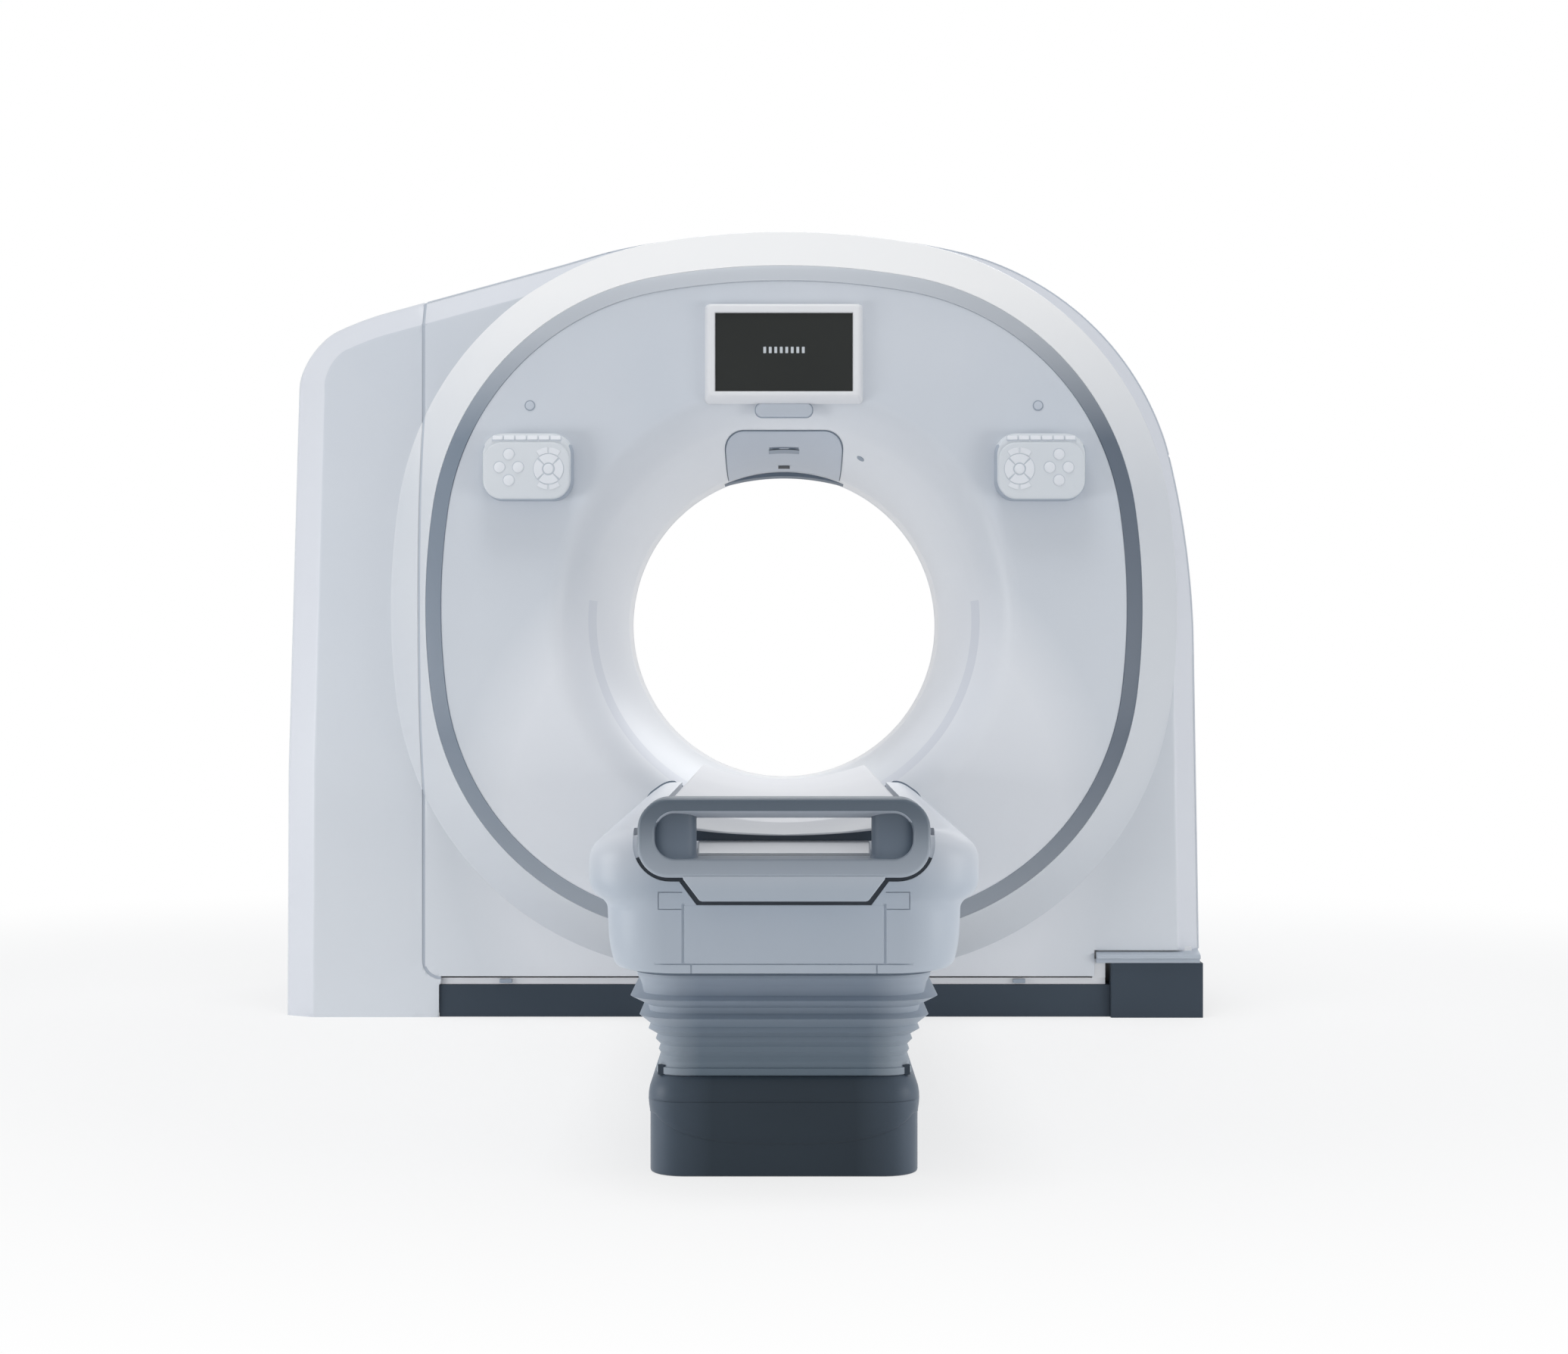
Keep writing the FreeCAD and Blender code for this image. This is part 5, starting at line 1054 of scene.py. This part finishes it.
def make_foot_box():
    """Box at the gantry's right foot, its sloping lid, and the pale cheek beside it."""
    box = [at_height(rounded_rectangle(0.111 - s, 0.346 - s, 0.004), z, 0.898, -0.046)
           for s, z in ((0.0, 0.0), (0.0, 0.1305), (0.0006, 0.1316), (0.0018, 0.132))]
    piece("foot_box_body", *loft(box), DARK, "root", "base_dark", replaces=["foot_box"])
    section = [(0.300, 0.132), (-0.392, 0.132), (-0.392, 0.142), (-0.4020, 0.1425),
               (-0.4038, 0.1445), (-0.4038, 0.1495), (-0.4010, 0.1528), (-0.3900, 0.1553),
               (-0.3600, 0.1605), (-0.3420, 0.1640), (-0.3300, 0.1665), (-0.3180, 0.1678),
               (0.2990, 0.1680)]
    lid = section_loft(section, ((0.7525, 0.004), (0.7535, 0.0), (1.0000, 0.0),
                                 (1.0010, 0.004)))
    piece("foot_box_cover", *lid, LID, "root", "lid_grey", replaces=["foot_box_lid"])
    cheek = [at_height(rounded_rectangle(0.0160, 0.0230, 0.001, 2), z, 0.7595, -0.3510)
             for z in (0.0945, 0.1400)]
    back = [np.array([(x, -0.352, 0.1520), (x, -0.352, 0.1690), (x, -0.368, 0.1690),
                      (x, -0.368, 0.1520)]) for x in (0.7560, 0.9850)]
    piece("foot_box_cheek", *joined([loft(cheek), loft(back)]), WHITE, "root", "lid_grey")


# ---- patient table ---------------------------------------------------------------------------

BODY_FRONT = -2.526
BODY_BACK = -0.560
BODY_BOTTOM = 0.3413
END_ROUND = 0.110
SHOULDER_HALF = 0.322
TROUGH_GAP = 0.0055
HANDLE_HALF = 0.233
HANDLE_BOTTOM = 0.501
HANDLE_TOP = 0.627
HANDLE_CORNER = 0.049


def body_half_section():
    """Right half of the table body's section, from the middle of its foot to its top."""
    run = [(x, BODY_BOTTOM) for x in (0.0, 0.090, 0.180, 0.262)]
    for middle, end, steps in (((0.2770, BODY_BOTTOM), (0.2815, 0.353), 6),
                               ((0.2890, 0.375), (0.2902, 0.405), 6),
                               ((0.2912, 0.425), (0.2915, 0.438), 4),
                               ((0.292, 0.449), (0.303, 0.4560), 6),
                               ((0.3215, 0.466), (SHOULDER_HALF, 0.490), 8)):
        run += bend(run[-1], middle, end, steps)
    return run + [(SHOULDER_HALF, 0.516)] + shoulder(4) + [(0.150, 0.574), (0.0, 0.574)]


def shoulder(steps):
    """The table body's shoulder, from its side to the top's edge."""
    return (bend((SHOULDER_HALF, 0.516), (SHOULDER_HALF, 0.541), (0.304, 0.553), 8)
            + [(0.290, 0.563)] + bend((0.290, 0.563), (0.274, 0.574), (0.258, 0.5735), steps))


def bend(a, b, c, steps):
    """Points of a soft corner from a to c drawn toward b, without a."""
    return [tuple((1 - t) ** 2 * np.array(a) + 2 * t * (1 - t) * np.array(b)
                  + t**2 * np.array(c)) for t in np.linspace(0, 1, steps + 1)[1:]]


def both_sides(run):
    """A closed outline from its right half, which starts and ends on the middle plane."""
    return np.array(run + [(-x, z) for x, z in run[::-1][1:-1]])


def trough_outline(grow):
    """The trough that the cradle and its handle run in, seen from the foot end."""
    gap = TROUGH_GAP + grow
    wide, low, corner = HANDLE_HALF + gap, HANDLE_BOTTOM - gap, HANDLE_CORNER + gap
    foot, apron, floor, top = 0.130 + gap, 0.158 + gap, 0.463 - gap, 0.640
    run = [(0.0, floor), (foot, floor), (apron, low), (wide - corner, low)]
    run += [(wide - corner + corner * math.sin(t), low + corner - corner * math.cos(t))
            for t in np.linspace(0, PI / 2, 13)[1:]]
    run += [(wide, 0.562), (wide, top), (0.0, top)]
    return both_sides(run)


def solid_mesh(name, verts, faces):
    """A closed working object whose large faces are triangulated."""
    mesh = mesh_of(name, verts, faces)
    bm = bmesh.new()
    bm.from_mesh(mesh)
    bmesh.ops.triangulate(bm, faces=[f for f in bm.faces if len(f.verts) > 4])
    bmesh.ops.recalc_face_normals(bm, faces=bm.faces)
    bm.to_mesh(mesh)
    bm.free()
    return linked(name, mesh)


def carved(base, tools):
    """The base mesh with the tools cut away; the working objects are removed."""
    for tool in tools:
        cutter = base.modifiers.new("carve", "BOOLEAN")
        cutter.operation = "DIFFERENCE"
        cutter.solver = "EXACT"
        cutter.object = tool
    graph = bpy.context.evaluated_depsgraph_get()
    mesh = bpy.data.meshes.new_from_object(base.evaluated_get(graph))
    for thing in [base, *tools]:
        bpy.data.objects.remove(thing)
    return mesh


def make_table_body():
    """Moulded body whose foot end turns in softly, with the trough cut through it."""
    outline = both_sides(body_half_section())
    rings = [in_plane(outline, y) for y in (BODY_BACK, -1.2, -1.8)]
    for turn in np.linspace(PI / 2, 0, 25):
        squeeze = 1 - END_ROUND * (1 - math.sin(turn)) / SHOULDER_HALF
        rings.append(in_plane(outline * [squeeze, 1],
                              BODY_FRONT + END_ROUND * (1 - math.cos(turn))))
    base = solid_mesh("body_block", *loft(rings))
    tools = [solid_mesh(name, *loft([in_plane(trough_outline(grow), y) for y in (back, -2.7)]))
             for name, grow, back in (("trench", 0.0, -0.5), ("rabbet", 0.0060, -2.4700))]
    seam, deep = 0.0012, 0.0030
    lines = []
    for side in (-1, 1):
        ends = sorted((side * 0.1645, side * 0.2030))
        lines += [((side * x - half, side * x + half), z) for x, half, z in (
            (0.163, 2 * seam, (0.357, 0.4535)), (0.150, seam, (0.335, 0.3555)))]
        lines += [(ends, (z, z + 1.4 * seam)) for z in (0.4440, 0.4715)]
        lines.append(((side * 0.2030 - 0.7 * seam, side * 0.2030 + 0.7 * seam),
                      (0.4440, 0.4728)))
    lines.append(((-0.270, 0.270), (0.3560 - seam, 0.3560 + seam)))
    tools += [solid_mesh("line", *loft(box_rings(x, z, (BODY_FRONT + deep, BODY_FRONT - 0.05))))
              for x, z in lines]
    finish_piece("table_body_shell", carved(base, tools), TABLE, "table_top", "cover_white",
                 30.0, ["table_body"])
    panel = frame_rings([(0.1612, 0.3578, 0.4512, 0.001, -2.5000),
                         (0.1612, 0.3578, 0.4512, 0.001, -2.5255),
                         (0.1604, 0.3586, 0.4505, 0.001, -2.5263)])
    piece("table_end_cover", *loft(panel), TABLE, "table_top", "apron_grey",
          replaces=["table_end_panel"])
    # A dark strip round the trough's edge on the foot end: painted shadow in the gap round the
    # handle and apron.
    piece("trough_gap_shadow", *open_strip(trough_outline(-0.0008), trough_outline(0.0058),
                                       0.0012, 0.0300, 0.531), SHADOW, "table_top", "base_dark")
    piece("trough_edging", *open_strip(trough_outline(-0.0006), trough_outline(0.0062),
                                       0.0018, 0.0290, 0.5755), TABLE, "table_top", "apron_grey")


def end_depth(x, z):
    """How far behind the foot end's flat face the body's rounded end lies at a point."""
    run = np.array(body_half_section())[4:-2]
    reach = np.interp(z, run[:, 1], run[:, 0])
    share = 1 - (1 - abs(x) / reach) * SHOULDER_HALF / END_ROUND
    return END_ROUND * (1 - math.sqrt(1 - max(0.0, share) ** 2))


def open_strip(inner, outer, start, stop, top):
    """A thin strip let into the foot end between two outlines, only below a height."""
    keep = [i for i in range(len(outer)) if outer[i][1] < top and inner[i][1] < top]
    split = next((k for k in range(1, len(keep)) if keep[k] - keep[k - 1] > 1), 0)
    keep = keep[split:] + keep[:split]

    def ring(points, depth):
        return np.array([(points[i][0], BODY_FRONT + end_depth(*outer[i]) + depth, points[i][1])
                         for i in keep])

    count = len(keep)
    verts = np.concatenate([ring(outer, start), ring(inner, start), ring(inner, stop),
                            ring(outer, stop)])
    faces = []
    for row in range(4):
        a, b = row * count, (row + 1) % 4 * count
        faces += [(a + i, a + i + 1, b + i + 1, b + i) for i in range(count - 1)]
    faces += [(0, count, 2 * count, 3 * count),
              (count - 1, 4 * count - 1, 3 * count - 1, 2 * count - 1)]
    return verts, faces


def make_rear_gap_shade():
    """A dark rim on the body's end beside the gantry: painted shade in the gap between table and
    gantry.
    """
    run = np.array(shoulder(6) + [(0.2380, 0.5620)])
    tangent = unit_rows(np.gradient(run, axis=0))
    normal = np.stack([tangent[:, 1], -tangent[:, 0]], 1)
    back, front = -0.5602, -0.5640
    parts = [loft([np.array([(side * a[0], front, a[1]), (side * a[0], back, a[1]),
                             (side * b[0], back, b[1]), (side * b[0], front, b[1])])
                   for a, b in zip(run + normal * 0.0036, run - normal * 0.0034)])
             for side in (-1, 1)]
    piece("table_rear_gap_shade", *joined(parts), GAP, "table_top", "handle_grey")


def make_handle():
    """Flat loop with a rolled rim, two round posts inside it, and the apron below."""
    middle, tall = (HANDLE_TOP + HANDLE_BOTTOM) / 2, (HANDLE_TOP - HANDLE_BOTTOM) / 2
    hole_low, hole_high, hole_half, hole_corner = 0.530, 0.605, 0.206, 0.032
    hole_middle, hole_tall = (hole_low + hole_high) / 2, (hole_high - hole_low) / 2
    outer = [(0.000, -2.5120), (0.000, -2.5935), (0.0006, -2.5965), (0.0022, -2.5988),
             (0.0045, -2.6000), (0.0065, -2.6000)]
    inner = [(-0.0040, -2.5922, 0.0), (-0.0018, -2.5908, 0.0), (-0.0004, -2.5885, 0.0),
             (0.0, -2.5850, 0.0), (0.0, -2.5600, 0.0080), (0.0, -2.5120, 0.0130)]
    rings = slabs([(HANDLE_HALF - inset, tall - inset, HANDLE_CORNER - inset, y)
                   for inset, y in outer], 0, middle, 16)
    for inset, y, drop in inner:
        rings += slabs([(hole_half - inset, hole_tall - inset - drop / 2,
                         hole_corner - inset - drop / 2, y)], 0, hole_middle - drop / 2, 16)
    turn = np.linspace(0, 2 * PI, 64, endpoint=False)
    across, along = (np.abs(wave(turn)) ** 0.8 * np.sign(wave(turn)) for wave in (np.cos, np.sin))
    posts = [loft([np.stack([side * 0.1790 + across * (0.0385 + grow),
                             -2.5460 + along * (0.0300 + grow), np.full_like(turn, z)], 1)
                   for grow, z in ((0.0040, 0.5285), (0.0012, 0.5315), (0.0, 0.5360),
                                   (0.0, 0.5990), (0.0012, 0.6035), (0.0040, 0.6065))])
             for side in (-1, 1)]
    piece("handle_posts", *joined(posts), POST, "cradle", "handle_grey", 60.0)
    ring = piece("handle_ring", *loft(rings, closed=True), HANDLE, "cradle", "handle_grey",
                 replaces=["handle_loop"])
    # Faces under the loop's top band take the laser cover's plain grey instead of the top band's
    # painted shade.
    ring.data.materials.append(LASER)
    roof_low, roof_front = 0.588, -2.590
    for face in ring.data.polygons:
        if face.normal.z < -0.3 and face.center.z > roof_low and face.center.y > roof_front:
            face.material_index = 1
    right = [(0.130, 0.4635), (0.1345, 0.4650), (0.160, 0.4985), (0.161, 0.5025)]
    shape = np.array(right + [(-x, z) for x, z in right[::-1]])
    apron = [in_plane(shape, -2.5105), in_plane(shape, -2.5985),
             in_plane(shape * [0.992, 1] + [0, 0.0008], -2.5996)]
    piece("handle_apron_panel", *loft(apron), TABLE, "cradle", "apron_grey", 25.0,
          replaces=["handle_apron"])


def cradle_outline(edge):
    """The cradle's crescent; edge is the height of its underside's ends."""
    run = [(0.0, 0.5610)]
    run += bend(run[-1], (0.095, 0.5610), (0.1850, edge - 0.0025), 20)
    run += bend(run[-1], (0.1905, edge), (0.1905, (edge + 0.6140) / 2), 4)
    run += bend(run[-1], (0.1905, 0.6150), (0.1850, 0.6138), 4)
    run += bend(run[-1], (0.095, 0.5810), (0.0, 0.5800), 20)
    return both_sides(run)


def make_cradle():
    """Cradle with an end flange, and the carriage beneath its foot end."""
    rings = [in_plane(cradle_outline(0.608), y) for y in (BODY_BACK, -1.5, -2.4303)]
    under = cradle_outline(0.577)
    floor_of = np.interp(np.abs(under[:, 0]), [0.0, 0.095, 0.185, 0.1905],
                         [0.561, 0.5645, 0.5745, 0.577])
    for y, share in ((-2.4300, 1.0), (-2.4340, 0.985), (-2.4420, 0.86), (-2.4520, 0.62),
                     (-2.4620, 0.34), (-2.4700, 0.12), (-2.4720, 0.03)):
        ring = under.copy()
        above = ring[:, 1] > floor_of + 0.002
        ring[above, 1] = floor_of[above] + (ring[above, 1] - floor_of[above]) * share
        rings.append(in_plane(ring, y))
    piece("cradle_shell", *loft(rings), CRADLE, "cradle", "cradle_white", 50.0,
          replaces=["cradle"])
    plate = frame_rings([(0.1400, 0.5290, 0.5510, 0.003, -2.262),
                         (0.1400, 0.5290, 0.5510, 0.003, -2.4660),
                         (0.1400, 0.5290, 0.5495, 0.003, -2.4720),
                         (0.1400, 0.5290, 0.5440, 0.003, -2.4850),
                         (0.1395, 0.5290, 0.5370, 0.003, -2.4960),
                         (0.1390, 0.5292, 0.5340, 0.002, -2.5000)])
    # A dark bar across the gap under the cradle, and the dark shoe below the plate: painted shade
    # in the carriage's recess.
    section = [(-0.186, 0.5500), (0.186, 0.5500), (0.186, 0.5740), (0.095, 0.5655), (0.0, 0.5625),
               (-0.095, 0.5655), (-0.186, 0.5740)]
    neck = [np.array([(x, y, z) for x, z in section]) for y in (-2.262, -2.434)]
    shoe = frame_rings([(0.120, 0.4960, 0.5295, 0.003, -2.262),
                        (0.120, 0.4960, 0.5295, 0.003, -2.440)])
    piece("carriage_plate", *loft(plate), WHITE, "cradle", "cradle_white",
          replaces=["slide_carriage"])
    piece("carriage_shoe_shade", *joined([loft(neck), loft(shoe)]), GAP, "cradle", "handle_grey")


# ---- table base and bellows ------------------------------------------------------------------

BASE_FRONT = -2.458
BASE_BACK = -1.100
BASE_HALF = 0.222
BASE_CORNER = 0.060


def base_ring(out, z, steps=14):
    """The base's outline grown outward by a distance, at a height."""
    middle, long_half = (BASE_FRONT + BASE_BACK) / 2, (BASE_BACK - BASE_FRONT) / 2
    return at_height(rounded_rectangle(BASE_HALF + out, long_half + out, BASE_CORNER + out, steps),
                     z, 0, middle)


def make_base():
    """Lower box, and the bulging cover over it whose lower edge dips round the front."""
    low = [(-0.0040, 0.0), (-0.0012, 0.0015), (0.0, 0.0050), (0.0, 0.0500), (0.0, 0.1010)]
    piece("base_lower_box", *loft([base_ring(out, z) for out, z in low]), BASE, "root",
          "base_dark", replaces=["table_base_skirt"])
    high = [(-0.0005, 0.1000), (0.0010, 0.1040), (0.0022, 0.1120), (0.0030, 0.1220),
            (0.0026, 0.1320), (0.0008, 0.1420), (-0.0025, 0.1510), (-0.0070, 0.1585),
            (-0.0105, 0.1625), (-0.0135, 0.1640), (-0.0200, 0.1640)]
    shell = loft([base_ring(out, z) for out, z in high])
    dip, side_foot, top = 0.053, 0.100, 0.1225
    columns, rows = 96, 24
    verts = []
    for row in range(rows + 1):
        for u in (-1 + 2 * column / columns for column in range(columns + 1)):
            x, y = outline_at(u * PI / 2)
            foot = dip + (side_foot - dip) * min(1.0, abs(u) / 0.86) ** 3.2
            z = foot + (top - foot) * row / rows
            rise = min(1.0, (z - foot) / 0.012)
            out = 0.0034 * math.sqrt(max(0.0, 1 - (1 - rise) ** 2)) * (1 - abs(u) ** 6)
            out += 0.0008 * (z - dip) / 0.07
            verts.append((x * (1 + out / (BASE_HALF + 0.0015)), y - out, z))
    piece("base_upper_cover", *joined([shell, (verts, grid(rows, columns + 1))]), BASE, "root",
          "base_dark", 40.0, replaces=["table_base_cover"])


def outline_at(turn):
    """A point round the front of the base: -90 degrees on its left side, 90 on its right."""
    flat, corner = BASE_HALF - BASE_CORNER, BASE_CORNER
    arc = corner * PI / 2
    total = flat + arc
    along = abs(turn) / (PI / 2) * total
    side = 1 if turn >= 0 else -1
    if along <= flat:
        return side * along, BASE_FRONT
    angle = (along - flat) / corner
    return (side * (flat + corner * math.sin(angle)),
            BASE_FRONT + corner - corner * math.cos(angle))


def make_bellows():
    """Pleated skin between the base and the lift frame, sharp near the top and soft below."""
    levels = [(0.1640, -0.0125), (0.1655, -0.0105), (0.1760, -0.0105), (0.1775, -0.0140)]
    tips = [(0.1860, -0.0145), (0.1945, -0.0190), (0.2030, -0.0140), (0.2115, -0.0175),
            (0.2200, -0.0090), (0.2285, -0.0125), (0.2375, 0.0030), (0.2450, -0.0020),
            (0.2610, 0.0180), (0.2680, 0.0010), (0.2780, 0.0040), (0.2925, 0.0330),
            (0.2985, 0.0110), (0.3150, 0.0150), (0.3270, 0.0215), (0.3300, 0.0215)]
    stations = list(levels)
    for (z0, out0), (z1, out1) in zip([levels[-1], *tips], tips):
        stations += [(z0 + (z1 - z0) * share, out0 + (out1 - out0) * share)
                     for share in (0.25, 0.5, 0.75, 1.0)]
    stations.append((0.3328, 0.0210))
    pleats = loft([base_ring(out, z, steps=16) for z, out in stations], caps=(False, False))
    skin = shaded("bellows_pleats", mesh_of("bellows_pleats", *pleats), BELLOWS, 34)
    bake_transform(skin)
    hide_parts("bellows")
    collar = [base_ring(out, z) for out, z in ((0.0220, 0.3325), (0.0330, 0.3365),
                                               (0.0350, 0.3375), (0.0350, 0.3413))]
    piece("bellows_collar", *loft(collar), GAP, "lift", "frame_steel")
    square = [(-0.006, -0.006), (0.006, -0.006), (0.006, 0.006), (-0.006, 0.006)]
    clips = [loft([at_height(square, z, side * (BASE_HALF - 0.020), BASE_FRONT + 0.0330)
                   for z in (0.1640, 0.1800)]) for side in (-1, 1)]
    piece("bellows_clips", *joined(clips), DARK, "root", "base_dark")


# ---- camera, lights, floor -------------------------------------------------------------------

def make_camera():
    """Level camera at the table's foot, made for a frame of 2072 by 1789 pixels."""
    data = bpy.data.cameras.new("camera")
    data.sensor_width = 36.0
    data.lens = 61.9
    data.clip_end = 100
    cam = linked("camera", data)
    cam.location = (0.0, -6.880, 0.820)
    cam.rotation_euler = (PI / 2, 0, 0)
    bpy.context.scene.camera = cam


def lamp(name, place, aim, size, power):
    """A rectangular lamp that points at a place."""
    data = bpy.data.lights.new(name, "AREA")
    data.shape = "RECTANGLE"
    data.size, data.size_y = size
    data.energy = power
    thing = linked(name, data)
    thing.location = place
    thing.rotation_euler = (Vector(aim) - Vector(place)).to_track_quat("-Z", "Y").to_euler()


def make_lights():
    lamp("key", (-0.3, -1.9, 5.4), (0, -0.55, 0.9), (1.8, 1.4), 62)
    lamp("left", (-3.6, -2.6, 0.60), (0, -0.6, 0.7), (1.8, 1.0), 35)
    lamp("right", (3.6, -3.0, 0.60), (0, -0.6, 0.7), (1.8, 1.0), 27)
    lamp("rear", (1.0, 4.6, 3.6), (0, 0.3, 1.0), (4.0, 3.0), 90)


def seen_by(tree, outputs):
    """1 for the named kinds of ray, and 0 for every other."""
    rays = node(tree, "LightPath")
    total = rays.outputs[outputs[0]]
    for name in outputs[1:]:
        either = node(tree, "Math", operation="MAXIMUM")
        wire(tree, (total, either.inputs[0]), (rays.outputs[name], either.inputs[1]))
        total = either.outputs[0]
    return total


def mixed(tree, share, first, second):
    """The first shader, passing into the second as the share goes from 0 to 1."""
    mix = node(tree, "MixShader")
    wire(tree, (share, mix.inputs[0]), (first, mix.inputs[1]), (second, mix.inputs[2]))
    return mix.outputs[0]


def floor_material():
    """Pale floor: the camera sees it white, greyer only under the object's shadow."""
    mat = bpy.data.materials.new("floor_paint")
    mat.use_nodes = True
    tree = mat.node_tree
    paint = tree.nodes["Principled BSDF"]
    paint.inputs["Base Color"].default_value = (0.95, 0.95, 0.95, 1)
    paint.inputs["Roughness"].default_value = 0.95
    paint.inputs["Specular IOR Level"].default_value = 0.0
    glow = node(tree, "Emission", {"Strength": 1.0})
    away = node(tree, "VectorMath", operation="LENGTH")
    fade = node(tree, "MapRange", {"From Min": 2.0, "From Max": 4.0, "To Min": 0.72,
                                   "To Max": 1.0}, interpolation_type="SMOOTHSTEP")
    wire(tree, (node(tree, "TexCoord").outputs["Object"], away.inputs[0]),
         (away.outputs["Value"], fade.inputs["Value"]))
    near = mixed(tree, fade.outputs["Result"], paint.outputs[0], glow.outputs[0])
    shown = mixed(tree, seen_by(tree, ["Is Camera Ray", "Is Transmission Ray"]),
                  paint.outputs[0], near)
    shown = mixed(tree, seen_by(tree, ["Is Glossy Ray"]), shown, glow.outputs[0])
    wire(tree, (shown, tree.nodes["Material Output"].inputs["Surface"]))
    return mat


def make_stage():
    """The floor, and a soft sky that the camera and reflections see as plain white."""
    size = 30.0
    mesh = mesh_of("floor", [(-size, -size, 0), (size, -size, 0), (size, size, 0),
                             (-size, size, 0)], [(0, 1, 2, 3)])
    mesh.materials.append(floor_material())
    floor = linked("floor", mesh)
    world = bpy.data.worlds.new("studio")
    world.use_nodes = True
    tree = world.node_tree
    light = tree.nodes["Background"]
    light.inputs["Color"].default_value = (0.94, 0.965, 1.0, 1)
    light.inputs["Strength"].default_value = 0.50
    white = node(tree, "Background", {"Color": (1, 1, 1, 1), "Strength": 1.0})
    shown = mixed(tree, seen_by(tree, ["Is Camera Ray", "Is Glossy Ray", "Is Transmission Ray"]),
                  light.outputs[0], white.outputs[0])
    wire(tree, (shown, tree.nodes["World Output"].inputs["Surface"]))
    bpy.context.scene.world = world
    bpy.context.scene.view_settings.view_transform = "Standard"


dress_frame()
make_gantry_skin()
make_trim_ring()
make_bore_liner()
make_display()
make_screen_marks()
make_laser_cover()
make_plugs()
make_panel("left", -1)
make_panel("right", 1)
make_plinth()
make_foot_box()
make_table_body()
make_rear_gap_shade()
make_handle()
make_cradle()
make_base()
make_bellows()
make_camera()
make_lights()
make_stage()

bpy.context.view_layer.update()
